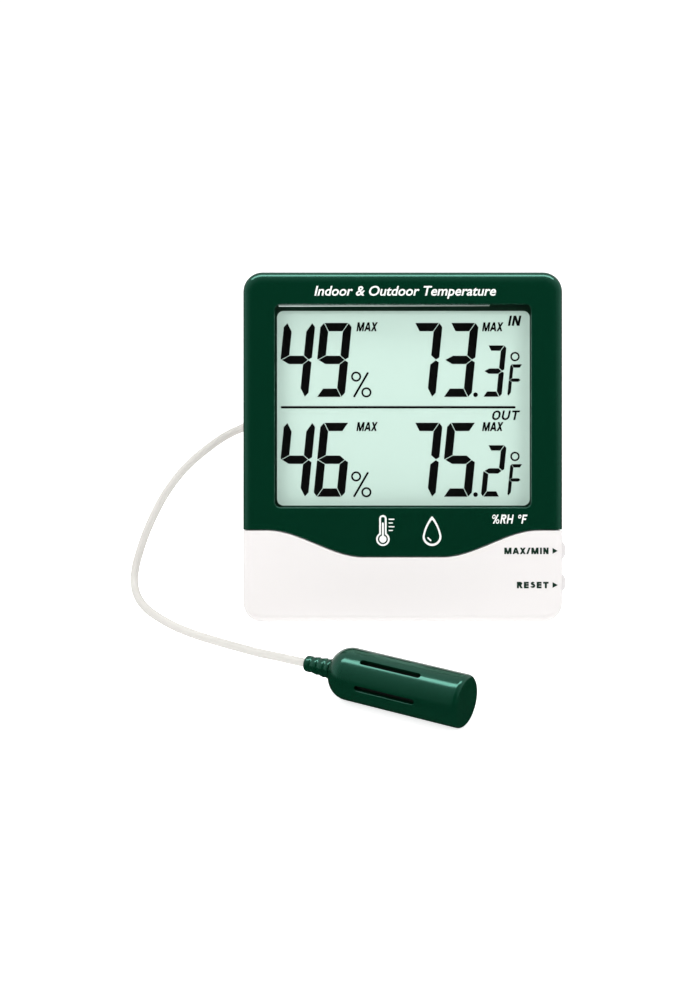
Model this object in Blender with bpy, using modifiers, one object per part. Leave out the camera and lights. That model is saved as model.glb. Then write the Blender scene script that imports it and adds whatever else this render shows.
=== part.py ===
"""Maximum minimum thermometer: a leaning display case on a tilt stand, with a wired outdoor probe.

Lengths are in metres, +Z is up, and the display faces -Y. The origin is the middle of the flat foot
under the case. Case pieces are placed in the case frame, which leans back about X: there X is to the
right, Y runs from the display face (0) to the back (CASE_DEPTH), and Z runs up from the case's foot.
"""

import math

import bmesh
import bpy
import numpy as np
from mathutils import Matrix, Vector

MM = 0.001
GAP = 0.3 * MM
PAST = 1.0 * MM

# Case
CASE_WIDTH = 99.0 * MM
CASE_HEIGHT = 108.5 * MM
CASE_DEPTH = 20.0 * MM
CASE_CORNER = 6.0 * MM
FACE_ROUNDING = 2.5 * MM
BACK_ROUNDING = 1.5 * MM
SPLIT_DEPTH = 13.0 * MM
CASE_LEAN = math.radians(20.0)
FOOT_START = SPLIT_DEPTH + GAP
FOOT_MIDDLE = 16.3 * MM

# Coloured front and display
BEZEL_THICKNESS = 1.5 * MM
BEZEL_DEPTH = 9.0 * MM
WAVE_LOW = 20.2 * MM
WAVE_HIGH = 28.5 * MM
WAVE_FLAT = 12.2 * MM
WAVE_END = 42.0 * MM
WINDOW_WIDTH = 79.4 * MM
WINDOW_HEIGHT = 62.9 * MM
WINDOW_MIDDLE = 66.95 * MM
WINDOW_CORNER = 1.8 * MM
LCD_WIDTH = 81.5 * MM
LCD_HEIGHT = 65.0 * MM
LCD_FRONT = 4.7 * MM
LCD_BACK = 6.6 * MM

# Inside walls
WALL_INSET = 3.4 * MM
FRONT_WALL = 3.3 * MM
BACK_WALL = 18.0 * MM
SCREW_X = 43.4 * MM
SCREW_LOW = 5.5 * MM
SCREW_HIGH = 102.6 * MM
BOARD_FRONT = 9.6 * MM
BOARD_BACK = 10.8 * MM
BOARD_SCREWS = ((-38.0 * MM, 13.0 * MM), (-38.0 * MM, 26.5 * MM), (34.0 * MM, 26.5 * MM))
POST_START_LOW = 1.0 * MM
POST_START_HIGH = 2.4 * MM
CASE_SCREW_SEAT = 16.3 * MM
CASE_SCREW_TIP = 6.5 * MM
BOARD_SCREW_TIP = 5.8 * MM
SCREW_HEAD_RADIUS = 2.0 * MM
OUTSIDE_BACK = 21.0 * MM

# Side buttons
BUTTON_DEPTH = 7.0 * MM
BUTTON_THICK = 4.4 * MM
BUTTON_LONG = 6.6 * MM
BUTTON_PROUD = 1.6 * MM
MAX_MIN_HEIGHT = 22.1 * MM
RESET_HEIGHT = 12.0 * MM

# Tilt stand
STAND_DEPTH = 18.2 * MM
STAND_HEIGHT = 58.0 * MM
STAND_OPEN = math.radians(30.0)
STAND_WIDTH = 36.0 * MM
STAND_THICKNESS = 2.2 * MM
RECESS_FLOOR = 16.6 * MM

# Battery
BATTERY_RADIUS = 5.15 * MM
BATTERY_DEPTH = 13.3 * MM
BATTERY_HEIGHT = 75.5 * MM
DOOR_LOW = 67.7 * MM
DOOR_HIGH = 83.3 * MM
DOOR_HALF = 28.7 * MM
DOOR_FRONT = 18.85 * MM

# Units switch
SWITCH_X = 32.0 * MM
SWITCH_HEIGHT = 44.0 * MM
SWITCH_TRAVEL = 2.0 * MM

# Vents over the indoor sensor
VENT_COUNT = 4
VENT_START = 40.0 * MM
VENT_STEP = 4.0 * MM

# Probe lead: where it leaves the case's left edge, and the slope of its channel
LEAD_RADIUS = 1.25 * MM
LEAD_EDGE_DEPTH = 17.7 * MM
LEAD_EDGE_HEIGHT = 61.4 * MM
LEAD_SLOPE = math.radians(27.0)
LEAD_SPACING = 5.5 * MM
LEAD_ROUTE_MM = (
    (-43.8, 22.93, 58.92),
    (-47.0, 22.38, 57.39),
    (-50.5, 21.8, 55.72),
    (-54.5, 21.55, 53.9),
    (-58.3, 21.5, 51.6),
    (-64.0, 21.4, 47.2),
    (-68.4, 21.35, 43.2),
    (-72.3, 21.3, 38.7),
    (-76.5, 21.3, 32.6),
    (-79.9, 21.3, 26.2),
    (-82.7, 21.3, 20.0),
    (-84.8, 21.2, 14.2),
    (-86.3, 20.4, 9.2),
    (-86.8, 18.4, 5.5),
    (-86.3, 15.0, 3.0),
    (-84.6, 9.9, 1.6),
    (-81.8, 3.5, 1.3),
    (-78.1, -2.7, 1.3),
    (-71.5, -11.0, 1.3),
    (-64.6, -17.3, 1.3),
    (-57.5, -23.0, 1.6),
    (-50.6, -29.6, 2.6),
    (-43.7, -37.4, 4.3),
    (-37.2, -45.0, 6.4),
    (-33.4, -48.9, 7.3),
    (-29.25, -51.67, 7.65),
)

# Probe: its frame's X runs along the probe from the cord boot to the far end
PROBE_PLACE = Vector((-21.2, -56.25, 7.65)) * MM
PROBE_TURN = math.radians(-29.4)
PROBE_RADIUS = 7.65 * MM
PROBE_LENGTH = 42.7 * MM
PROBE_WALL = 1.5 * MM
PROBE_SHOULDER = 6.0 * MM
PROBE_CAP_LENGTH = 2.6 * MM
SLOT_TURNS = (0.0, 60.0, 180.0, 240.0)
SLOT_START = 11.0 * MM
SLOT_END = 30.0 * MM
SLOT_WIDTH = 1.5 * MM
BOOT_LENGTH = 8.9 * MM

PARTS = "max_min_thermometer"
TOOLS = "cutters"


def mm(*values):
    return Vector(values) * MM


# ---- Scene, materials and small helpers ----


def clear_scene():
    for obj in list(bpy.data.objects):
        bpy.data.objects.remove(obj, do_unlink=True)
    for name in (PARTS, TOOLS):
        collection = bpy.data.collections.get(name) or bpy.data.collections.new(name)
        if name not in bpy.context.scene.collection.children:
            bpy.context.scene.collection.children.link(collection)


def look(name, colour, roughness, metallic=0.0):
    material = bpy.data.materials.get(name) or bpy.data.materials.new(name)
    material.use_nodes = True
    shader = material.node_tree.nodes["Principled BSDF"]
    shader.inputs["Base Color"].default_value = (*colour, 1.0)
    shader.inputs["Roughness"].default_value = roughness
    shader.inputs["Metallic"].default_value = metallic
    return material


def looks():
    return {
        "green": look("green_gloss_plastic", (0.002, 0.030, 0.013), 0.25),
        "white": look("off_white_plastic", (0.88, 0.85, 0.84), 0.45),
        "button": look("button_plastic", (0.74, 0.72, 0.71), 0.4),
        "window": look("window_acrylic", (0.9, 0.95, 0.93), 0.05),
        "lcd": look("lcd_glass", (0.64, 0.83, 0.74), 0.15),
        "rubber": look("zebra_rubber", (0.55, 0.35, 0.38), 0.7),
        "board": look("circuit_board", (0.02, 0.20, 0.07), 0.5),
        "chip": look("chip_resin", (0.01, 0.01, 0.012), 0.4),
        "steel": look("plated_steel", (0.62, 0.62, 0.62), 0.3, 1.0),
        "sensor": look("sensor_body", (0.75, 0.78, 0.80), 0.6),
        "bead": look("thermistor_bead", (0.02, 0.02, 0.02), 0.35),
        "battery": look("battery_jacket", (0.05, 0.06, 0.08), 0.3),
        "red_wire": look("red_wire", (0.55, 0.02, 0.02), 0.45),
        "black_wire": look("black_wire", (0.02, 0.02, 0.02), 0.45),
        "lead": look("lead_jacket", (0.85, 0.83, 0.78), 0.45),
    }


def frame(name, location, rotation=(0.0, 0.0, 0.0), parent=None):
    empty = bpy.data.objects.new(name, None)
    empty.location = location
    empty.rotation_euler = rotation
    empty.parent = parent
    bpy.data.collections[TOOLS].objects.link(empty)
    return empty


def place(name, mesh, location, parent, material=None):
    """Link a mesh as a part if it has a material, or else as a cutter or a shape to be joined."""
    obj = bpy.data.objects.new(name, mesh)
    obj.location = location
    obj.parent = parent
    mesh.shade_smooth()
    mesh.set_sharp_from_angle(angle=math.radians(35.0))
    if material is None:
        obj.hide_render = True
        obj.display_type = "WIRE"
        bpy.data.collections[TOOLS].objects.link(obj)
    else:
        mesh.materials.append(material)
        bpy.data.collections[PARTS].objects.link(obj)
    return obj


def mesh_from(bm, name):
    bmesh.ops.recalc_face_normals(bm, faces=bm.faces)
    mesh = bpy.data.meshes.new(name)
    bm.to_mesh(mesh)
    bm.free()
    return mesh


def cut(target, *cutters):
    for cutter in cutters:
        change = target.modifiers.new("cut_" + cutter.name, "BOOLEAN")
        change.operation = "DIFFERENCE"
        change.object = cutter
    return target


def join(target, *pieces):
    for piece in pieces:
        change = target.modifiers.new("join_" + piece.name, "BOOLEAN")
        change.operation = "UNION"
        change.object = piece
    return target


# ---- Basic shapes ----


def box(name, low, high, parent, material=None, rounding=0.0):
    """A block between two corners given in the parent's frame."""
    low, high = Vector(low), Vector(high)
    bm = bmesh.new()
    bmesh.ops.create_cube(bm, size=1.0)
    bmesh.ops.scale(bm, vec=high - low, verts=bm.verts)
    if rounding:
        bmesh.ops.bevel(bm, geom=bm.edges[:], offset=rounding, segments=1, profile=0.5, affect="EDGES")
    return place(name, mesh_from(bm, name), (low + high) / 2, parent, material)


def rod(name, start, end, radius, parent, material=None, end_radius=None, sides=20):
    """A round bar, or a cone, from start to end."""
    start, end = Vector(start), Vector(end)
    run = end - start
    bm = bmesh.new()
    bmesh.ops.create_cone(
        bm,
        cap_ends=True,
        segments=sides,
        radius1=radius,
        radius2=radius if end_radius is None else end_radius,
        depth=run.length,
    )
    turn = run.to_track_quat("Z", "Y").to_matrix()
    bmesh.ops.rotate(bm, cent=(0, 0, 0), matrix=turn, verts=bm.verts)
    return place(name, mesh_from(bm, name), (start + end) / 2, parent, material)


def rounded_outline(low, high, radius, steps=5):
    """A rectangle from low to high whose corners are arcs."""
    centres = (
        (high[0] - radius, high[1] - radius, 0.0),
        (low[0] + radius, high[1] - radius, 0.25),
        (low[0] + radius, low[1] + radius, 0.5),
        (high[0] - radius, low[1] + radius, 0.75),
    )
    points = []
    for across, up, start in centres:
        for step in range(steps + 1):
            angle = 2 * math.pi * (start + 0.25 * step / steps)
            points.append((across + radius * math.cos(angle), up + radius * math.sin(angle)))
    return points


EXTRUDE_TURNS = {
    "X": Matrix(((0, 0, 1, 0), (1, 0, 0, 0), (0, 1, 0, 0), (0, 0, 0, 1))),
    "Y": Matrix.Rotation(math.pi / 2, 4, "X"),
}


def plate(name, outline, start, end, parent, material=None, axis="Y", rim=None, rounding=0.0, steps=3):
    """A flat outline extruded along X or Y from start to end.

    rim is the end ("start" or "end") whose edge is rounded.
    """
    curve = bpy.data.curves.new(name, "CURVE")
    curve.dimensions = "2D"
    curve.fill_mode = "BOTH"
    curve.extrude = (end - start) / 2
    spline = curve.splines.new("POLY")
    spline.points.add(len(outline) - 1)
    for point, (across, up) in zip(spline.points, outline):
        point.co = (across, up, 0.0, 1.0)
    spline.use_cyclic_u = True
    mesh = mesh_of_curve(name, curve)
    mesh.transform(EXTRUDE_TURNS[axis])
    bm = bmesh.new()
    bm.from_mesh(mesh)
    bmesh.ops.dissolve_limit(bm, angle_limit=0.001, verts=bm.verts, edges=bm.edges)
    direction = Vector((1, 0, 0)) if axis == "X" else Vector((0, 1, 0))
    if rim:
        side = 1.0 if rim == "end" else -1.0
        reach = side * (end - start) / 2
        edges = [
            edge
            for edge in bm.edges
            if all(abs(vert.co.dot(direction) - reach) < 1e-6 for vert in edge.verts)
        ]
        bmesh.ops.bevel(bm, geom=edges, offset=rounding, segments=steps, profile=0.5, affect="EDGES")
    middle = direction * (start + end) / 2
    return place(name, mesh_from(bm, name), middle, parent, material)


def mesh_of_curve(name, curve):
    """Turn a curve into one closed mesh with its caps welded on."""
    guide = bpy.data.objects.new(name + "_guide", curve)
    bpy.context.scene.collection.objects.link(guide)
    evaluated = guide.evaluated_get(bpy.context.evaluated_depsgraph_get())
    mesh = bpy.data.meshes.new_from_object(evaluated)
    bpy.data.objects.remove(guide)
    bm = bmesh.new()
    bm.from_mesh(mesh)
    bmesh.ops.remove_doubles(bm, verts=bm.verts, dist=0.001 * MM)
    bmesh.ops.recalc_face_normals(bm, faces=bm.faces)
    bm.to_mesh(mesh)
    bm.free()
    return mesh


def turned(name, profile, parent, material=None, steps=32):
    """Turn a profile of (along X, radius) points about X: its outside runs from -X to +X.

    A profile that starts and ends on the axis makes a solid, and any other is closed into a ring.
    """
    bm = bmesh.new()
    verts = [bm.verts.new((along, 0.0, radius)) for along, radius in reversed(profile)]
    if profile[0][1] > 0.0:
        verts.append(verts[0])
    for first, second in zip(verts, verts[1:]):
        bm.edges.new((first, second))
    mesh = bpy.data.meshes.new(name)
    bm.to_mesh(mesh)
    bm.free()
    obj = place(name, mesh, (0, 0, 0), parent, material)
    spin = obj.modifiers.new("turn", "SCREW")
    spin.axis = "X"
    spin.steps = steps
    spin.render_steps = steps
    spin.use_merge_vertices = True
    spin.merge_threshold = 0.01 * MM
    spin.use_smooth_shade = True
    return obj


def tube(name, points, radius, parent, material):
    """A wire along points, with filled ends."""
    curve = bpy.data.curves.new(name, "CURVE")
    curve.dimensions = "3D"
    curve.bevel_depth = radius
    curve.bevel_resolution = 2
    curve.use_fill_caps = True
    spline = curve.splines.new("POLY")
    spline.points.add(len(points) - 1)
    for point, place_of_point in zip(spline.points, points):
        point.co = (*place_of_point, 1.0)
    obj = bpy.data.objects.new(name, curve)
    obj.parent = parent
    curve.materials.append(material)
    bpy.data.collections[PARTS].objects.link(obj)
    return obj


def smooth_route(route, spacing):
    """Points at an even spacing on a Catmull-Rom curve through the route."""
    route = np.array(route, dtype=float)
    ends = np.vstack((2 * route[0] - route[1], route, 2 * route[-1] - route[-2]))
    fine = []
    for a, b, c, d in zip(ends, ends[1:], ends[2:], ends[3:]):
        for t in np.linspace(0.0, 1.0, 24, endpoint=False):
            bend = 2 * a - 5 * b + 4 * c - d
            twist = 3 * b - a - 3 * c + d
            fine.append(0.5 * (2 * b + (c - a) * t + bend * t**2 + twist * t**3))
    fine = np.array(fine + [route[-1]])
    along = np.concatenate(([0.0], np.cumsum(np.linalg.norm(np.diff(fine, axis=0), axis=1))))
    count = max(2, round(along[-1] / spacing))
    stops = np.linspace(0.0, along[-1], count + 1)
    return np.column_stack([np.interp(stops, along, fine[:, axis]) for axis in range(3)])


# ---- Outlines of the case ----


def case_outline(inset, bottom=None):
    half = CASE_WIDTH / 2 - inset
    low = inset if bottom is None else bottom
    return rounded_outline((-half, low), (half, CASE_HEIGHT - inset), max(CASE_CORNER - inset, 1.5 * MM))


def wave_height(across):
    """Height of the coloured front's lower edge, a smooth step down to the middle."""
    t = min(max((abs(across) - WAVE_FLAT) / (WAVE_END - WAVE_FLAT), 0.0), 1.0)
    return WAVE_LOW + (WAVE_HIGH - WAVE_LOW) * t * t * (3 - 2 * t)


def wave_outline(shift, above):
    """The region above, or below, the wave line moved up by shift."""
    reach = CASE_WIDTH / 2 + 5 * MM
    side = [WAVE_FLAT + (WAVE_END - WAVE_FLAT) * step / 9 for step in range(10)]
    across = [-reach] + [-x for x in reversed(side)] + side + [reach]
    line = [(x, wave_height(x) + shift) for x in across]
    far = CASE_HEIGHT + 5 * MM if above else -5 * MM
    return line + [(reach, far), (-reach, far)]


def window_outline(width, height, radius):
    low = (-width / 2, WINDOW_MIDDLE - height / 2)
    high = (width / 2, WINDOW_MIDDLE + height / 2)
    return rounded_outline(low, high, radius, steps=4)


# ---- Case shells ----


def front_housing(case, look_of):
    shell = plate(
        "front_housing",
        case_outline(0.0),
        0.0,
        SPLIT_DEPTH,
        case,
        look_of["white"],
        rim="start",
        rounding=FACE_ROUNDING,
    )
    cut(shell, bezel_seat(case), housing_cavity(case))
    cut(shell, box("low_cavity", mm(-46.1, 2.0, 2.0), mm(46.1, 14.0, 18.0), case))
    lens_seat = window_outline(83.0 * MM, 66.5 * MM, 2.8 * MM)
    cut(shell, plate("lens_seat", lens_seat, -PAST, FRONT_WALL, case))
    cut(shell, plate("view_hole", window_outline(80.0 * MM, 63.5 * MM, 2.0 * MM), 0.0, 6.0 * MM, case))
    lcd_seat = window_outline(LCD_WIDTH + 2 * GAP, LCD_HEIGHT + 2 * GAP, 0.5 * MM)
    cut(shell, plate("lcd_seat", lcd_seat, LCD_FRONT - GAP, SPLIT_DEPTH + PAST, case))
    for height, name in ((MAX_MIN_HEIGHT, "max_min"), (RESET_HEIGHT, "reset")):
        opening = button_outline(height, GAP)
        cut(shell, plate(name + "_slot", opening, 44.0 * MM, 52.0 * MM, case, axis="X"))
    for index, place_of_screw in enumerate(case_screw_places(), start=1):
        post(shell, "case_post_%d" % index, place_of_screw, 12.9 * MM, 2.5 * MM, 1.45 * MM, case)
    for index, place_of_screw in enumerate(BOARD_SCREWS, start=1):
        post(shell, "board_post_%d" % index, place_of_screw, BOARD_FRONT - GAP, 2.6 * MM, 1.25 * MM, case)


def bezel_seat(case):
    seat = plate("bezel_seat", wave_outline(-GAP / 2, above=True), -PAST, BEZEL_DEPTH + GAP, case)
    inset = BEZEL_THICKNESS + GAP
    core = plate("bezel_core", case_outline(inset), inset, SPLIT_DEPTH, case)
    return cut(seat, core)


def housing_cavity(case):
    """The inside of the front housing, which leaves a wall around the display glass."""
    cavity = plate("housing_cavity", case_outline(WALL_INSET), FRONT_WALL, SPLIT_DEPTH + PAST, case)
    keep = box("display_wall", mm(-42.5, 2.0, 32.7), mm(42.5, 6.6, 101.2), case)
    return cut(cavity, keep)


def post(shell, name, place_of_screw, end, radius, hole, case):
    """A screw post from the front wall to end. It starts further forward below the coloured front."""
    across, height = place_of_screw
    start = POST_START_LOW if height < WAVE_LOW else POST_START_HIGH
    join(shell, rod(name, (across, start, height), (across, end, height), radius, case, sides=16))
    drill_start = (across, start + 3.0 * MM, height)
    cut(shell, rod(name + "_hole", drill_start, (across, end + PAST, height), hole, case, sides=12))


def case_screw_places():
    return [(x, z) for z in (SCREW_LOW, SCREW_HIGH) for x in (-SCREW_X, SCREW_X)]


def face_bezel(case, look_of):
    shell = plate(
        "face_bezel",
        case_outline(0.0),
        0.0,
        BEZEL_DEPTH,
        case,
        look_of["green"],
        rim="start",
        rounding=FACE_ROUNDING,
    )
    cut(shell, plate("bezel_inside", case_outline(BEZEL_THICKNESS), BEZEL_THICKNESS, SPLIT_DEPTH, case))
    cut(shell, plate("below_wave", wave_outline(GAP / 2, above=False), -PAST, SPLIT_DEPTH, case))
    window = window_outline(WINDOW_WIDTH, WINDOW_HEIGHT, WINDOW_CORNER)
    cut(shell, plate("bezel_window", window, -PAST, 4.0 * MM, case))


def rear_cover(case, look_of):
    shell = plate(
        "rear_cover",
        case_outline(0.0),
        FOOT_START,
        CASE_DEPTH,
        case,
        look_of["white"],
        rim="end",
        rounding=BACK_ROUNDING,
    )
    cut(shell, plate("cover_cavity", case_outline(2.0 * MM, bottom=3.6 * MM), 12.0 * MM, BACK_WALL, case))
    stand_pocket(shell, case)
    battery_compartment(shell, case)
    hanging_keyhole(shell, case)
    lead_channel(shell, case)
    cover_screw_holes(shell, case)
    vents_and_switch_opening(shell, case)
    foot = frame("foot_frame", (0.0, FOOT_START, 0.0), (CASE_LEAN, 0.0, 0.0), case)
    cut(shell, box("foot_plane", mm(-60, -1, -12), mm(60, 20, 0), foot))


def vents_and_switch_opening(shell, case):
    for index in range(VENT_COUNT):
        height = VENT_START + VENT_STEP * index
        low = (-44.0 * MM, 17.0 * MM, height - 0.8 * MM)
        high = (-30.0 * MM, OUTSIDE_BACK, height + 0.8 * MM)
        cut(shell, box("vent_%d" % (index + 1), low, high, case))
    low = (SWITCH_X - 2.6 * MM, 17.0 * MM, SWITCH_HEIGHT - 1.3 * MM)
    high = (SWITCH_X + 2.6 * MM, OUTSIDE_BACK, SWITCH_HEIGHT + 1.3 * MM)
    cut(shell, box("switch_opening", low, high, case))


def stand_pocket(shell, case):
    join(shell, box("stand_block", mm(-24.5, 15.0, 3.0), mm(24.5, 18.5, 64.3), case))
    cut(shell, box("stand_recess", (-20 * MM, RECESS_FLOOR, 3.8 * MM), mm(20, 21, 62), case))
    for side in (-1, 1):
        start = (side * 19.0 * MM, STAND_DEPTH, STAND_HEIGHT)
        end = (side * 21.9 * MM, STAND_DEPTH, STAND_HEIGHT)
        name = "pin_hole_left" if side < 0 else "pin_hole_right"
        cut(shell, rod(name, start, end, 1.25 * MM, case, sides=16))
    cut(shell, rod("finger_notch", mm(20, 21.2, 14), mm(20, 17.4, 14), 6.0 * MM, case, end_radius=2.5 * MM))


def battery_compartment(shell, case):
    join(shell, box("compartment_block", mm(-27.7, 6.9, 68.7), mm(27.7, 18.5, 82.3), case))
    cut(shell, box("compartment_inside", mm(-26.5, 7.8, 69.9), mm(26.5, 21, 81.1), case))
    low = (-DOOR_HALF - GAP, DOOR_FRONT - GAP, DOOR_LOW - GAP)
    high = (DOOR_HALF + GAP, OUTSIDE_BACK, DOOR_HIGH + GAP)
    cut(shell, box("door_seat", low, high, case))
    cut(shell, box("latch_scoop", mm(-7, 18.9, 83), mm(7, 21, 87.4), case))
    for side in (-1, 1):
        ends = sorted((side * 26.0, side * 28.5))
        slot = box("tail_slot_%d" % side, mm(ends[0], 8.6, 70.3), mm(ends[1], 9.8, 72.9), case)
        cut(shell, slot)


def hanging_keyhole(shell, case):
    """A blind keyhole: a round mouth, a narrow slot above it, and room for a screw head behind."""
    join(shell, box("keyhole_block", mm(-6.5, 15.4, 87.6), mm(6.5, 18.5, 102.5), case))
    mouth = rod("keyhole_mouth", mm(0, 16.9, 92), mm(0, 21, 92), 3.6 * MM, case)
    slot = rounded_outline(mm(-1.75, 90), mm(1.75, 98.75), 1.75 * MM)
    undercut = rounded_outline(mm(-3.5, 90), mm(3.5, 100.4), 3.45 * MM)
    cut(shell, mouth, plate("keyhole_slot", slot, 16.95 * MM, 21 * MM, case))
    cut(shell, plate("keyhole_undercut", undercut, 16.92 * MM, 18.3 * MM, case))


def lead_frame(case):
    edge = (-CASE_WIDTH / 2, LEAD_EDGE_DEPTH, LEAD_EDGE_HEIGHT)
    return frame("lead_axis", edge, (0.0, math.pi - LEAD_SLOPE, 0.0), case)


def lead_channel(shell, case):
    lead = lead_frame(case)
    join(shell, box("channel_block", mm(-14.8, -3.7, -3.9), mm(-2.5, 0.8, 3.9), lead))
    cut(shell, box("channel", mm(-9.4, -1.65, -2.2), mm(6, 4, 2.2), lead))
    cut(shell, box("grommet_seat", mm(-13.2, -2.4, -2.6), mm(-9.2, 4, 2.6), lead))


def cover_screw_holes(shell, case):
    for index, (across, height) in enumerate(case_screw_places(), start=1):
        front, start, step, floor, end, outside = [
            Vector((across, depth, height))
            for depth in (12.0 * MM, FOOT_START + 0.2 * MM, 16.0 * MM, 17.0 * MM, 18.5 * MM, OUTSIDE_BACK)
        ]
        join(shell, rod("pillar_%d" % index, start, end, 3.0 * MM, case, sides=16))
        cut(shell, rod("screw_way_%d" % index, front, floor, 1.5 * MM, case))
        cut(shell, rod("screw_sink_%d" % index, step, outside, 2.3 * MM, case))


def case_screws(case, look_of):
    for index, place_of_screw in enumerate(case_screw_places(), start=1):
        depths = (CASE_SCREW_TIP, CASE_SCREW_SEAT, CASE_SCREW_SEAT + 1.7 * MM)
        screw("case_screw_%d" % index, place_of_screw, depths, 1.15 * MM, case, look_of)


def screw(name, place_of_screw, depths, shaft_radius, case, look_of):
    """A cross-head screw along Y, with the depths of its tip, its seat and the top of its head."""
    across, height = place_of_screw
    tip, seat, top = depths
    shaft_end = (across, seat + 0.2 * MM, height)
    shaft = rod(name, (across, tip, height), shaft_end, shaft_radius, case, look_of["steel"], sides=12)
    head_start, head_end = (across, seat, height), (across, top, height)
    narrow = 0.8 * SCREW_HEAD_RADIUS
    join(shaft, rod(name + "_head", head_start, head_end, SCREW_HEAD_RADIUS, case, None, narrow, sides=16))
    for index, half in enumerate(((1.2, 0.3), (0.3, 1.2))):
        low = (across - half[0] * MM, top - 0.7 * MM, height - half[1] * MM)
        high = (across + half[0] * MM, top + PAST, height + half[1] * MM)
        cut(shaft, box("%s_drive_%d" % (name, index + 1), low, high, case))


# ---- Display and board ----


def display(case, look_of):
    lens = window_outline(82.4 * MM, 65.9 * MM, 2.5 * MM)
    plate("display_window", lens, BEZEL_THICKNESS + GAP, FRONT_WALL - GAP, case, look_of["window"])
    half = LCD_WIDTH / 2
    low = (-half, LCD_FRONT, WINDOW_MIDDLE - LCD_HEIGHT / 2)
    high = (half, LCD_BACK, WINDOW_MIDDLE + LCD_HEIGHT / 2)
    box("lcd_panel", low, high, case, look_of["lcd"])
    low = (-38 * MM, LCD_BACK + GAP, 35.0 * MM)
    high = (38 * MM, BOARD_FRONT - GAP, 37.5 * MM)
    box("zebra_connector", low, high, case, look_of["rubber"])


def circuit_board(case, look_of):
    outline = rounded_outline(mm(-44, 9.2), mm(44, 64), 1.0 * MM, steps=2)
    board = plate("main_pcb", outline, BOARD_FRONT, BOARD_BACK, case, look_of["board"])
    seat = BOARD_BACK + GAP
    depths = (BOARD_SCREW_TIP, seat, seat + 1.3 * MM)
    for index, (across, height) in enumerate(BOARD_SCREWS, start=1):
        start = (across, BOARD_FRONT - PAST, height)
        end = (across, BOARD_BACK + PAST, height)
        cut(board, rod("board_hole_%d" % index, start, end, 1.3 * MM, case, sides=12))
        screw("pcb_screw_%d" % index, (across, height), depths, 0.95 * MM, case, look_of)
    back = seat / MM
    chip_ends = (mm(-8, back, 40), mm(-8, back + 1.4, 40))
    rod("controller_chip", *chip_ends, 5.2 * MM, case, look_of["chip"], 3.8 * MM)
    crystal_ends = (mm(7, back + 1.1, 50), mm(13, back + 1.1, 50))
    rod("clock_crystal", *crystal_ends, 1.0 * MM, case, look_of["steel"], sides=14)
    indoor_sensors(case, look_of, back)


def indoor_sensors(case, look_of, back):
    low, high = mm(-42, back, 43), mm(-32, back + 3, 49)
    sensor = box("indoor_humidity_sensor", low, high, case, look_of["sensor"])
    cut(sensor, box("indoor_humidity_face", mm(-40.5, back + 2.4, 44.2), mm(-33.5, back + 4, 47.8), case))
    bead(case, "indoor_thermistor", mm(-37, back + 2.6, 56), Vector((0, -1, 0)), 2.6 * MM, look_of)


def bead(parent, name, centre, legs_towards, leg_length, look_of):
    """A thermistor: a small drop on two stiff legs."""
    bm = bmesh.new()
    bmesh.ops.create_uvsphere(bm, u_segments=12, v_segments=8, radius=1.1 * MM)
    drop = place(name, mesh_from(bm, name), centre, parent, look_of["bead"])
    for side in (-1, 1):
        offset = Vector((side * 0.5 * MM, 0, 0))
        start = Vector(centre) + offset
        end = start + legs_towards * leg_length
        join(drop, rod("%s_leg_%d" % (name, side), start, end, 0.25 * MM, parent, sides=8))


# ---- Buttons and switch ----


def button_outline(height, grow=0.0):
    low = (BUTTON_DEPTH - BUTTON_THICK / 2 - grow, height - BUTTON_LONG / 2 - grow)
    high = (BUTTON_DEPTH + BUTTON_THICK / 2 + grow, height + BUTTON_LONG / 2 + grow)
    return rounded_outline(low, high, 2.0 * MM + grow, steps=4)


def side_button(key, height, case, look_of):
    """A cap in the right wall with a retaining foot inside, and the key switch that it presses."""
    name = key + "_button"
    switch_name = "tact_switch_" + key
    outer = CASE_WIDTH / 2 + BUTTON_PROUD
    outline = button_outline(height)
    cap = plate(name, outline, 45.5 * MM, outer, case, look_of["button"], "X", "end", rounding=0.9 * MM)
    low = (44.5 * MM, BUTTON_DEPTH - 2.1 * MM, height - 3.9 * MM)
    high = (45.8 * MM, BUTTON_DEPTH + 2.1 * MM, height + 3.9 * MM)
    join(cap, box(name + "_foot", low, high, case))
    low = (39.0 * MM, 5.5 * MM, height - 3.0 * MM)
    high = (43.0 * MM, BOARD_FRONT - GAP, height + 3.0 * MM)
    switch = box(switch_name, low, high, case, look_of["chip"])
    well_start = (40.2 * MM, BUTTON_DEPTH, height)
    well_end = (44.0 * MM, BUTTON_DEPTH, height)
    cut(switch, rod(switch_name + "_well", well_start, well_end, 1.25 * MM, case, sides=16))
    plunger_start = (41.2 * MM, BUTTON_DEPTH, height)
    plunger_end = (44.2 * MM, BUTTON_DEPTH, height)
    plunger = "switch_plunger_" + key
    rod(plunger, plunger_start, plunger_end, 0.95 * MM, case, look_of["sensor"], sides=16)


def units_switch(case, look_of):
    half = 4.5 * MM
    low = (SWITCH_X - half, BOARD_BACK + GAP, SWITCH_HEIGHT - 2.0 * MM)
    high = (SWITCH_X + half, 14.6 * MM, SWITCH_HEIGHT + 2.0 * MM)
    body = box("unit_switch_body", low, high, case, look_of["steel"])
    low = (SWITCH_X - 2.4 * MM, 13.1 * MM, SWITCH_HEIGHT - 1.3 * MM)
    high = (SWITCH_X + 2.4 * MM, 16.0 * MM, SWITCH_HEIGHT + 1.3 * MM)
    cut(body, box("unit_switch_track", low, high, case))
    across = SWITCH_X - SWITCH_TRAVEL / 2
    low = (across - 1.0 * MM, 13.4 * MM, SWITCH_HEIGHT - 1.0 * MM)
    high = (across + 1.0 * MM, 19.5 * MM, SWITCH_HEIGHT + 1.0 * MM)
    box("unit_switch_knob", low, high, case, look_of["chip"])


# ---- Battery ----


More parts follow.
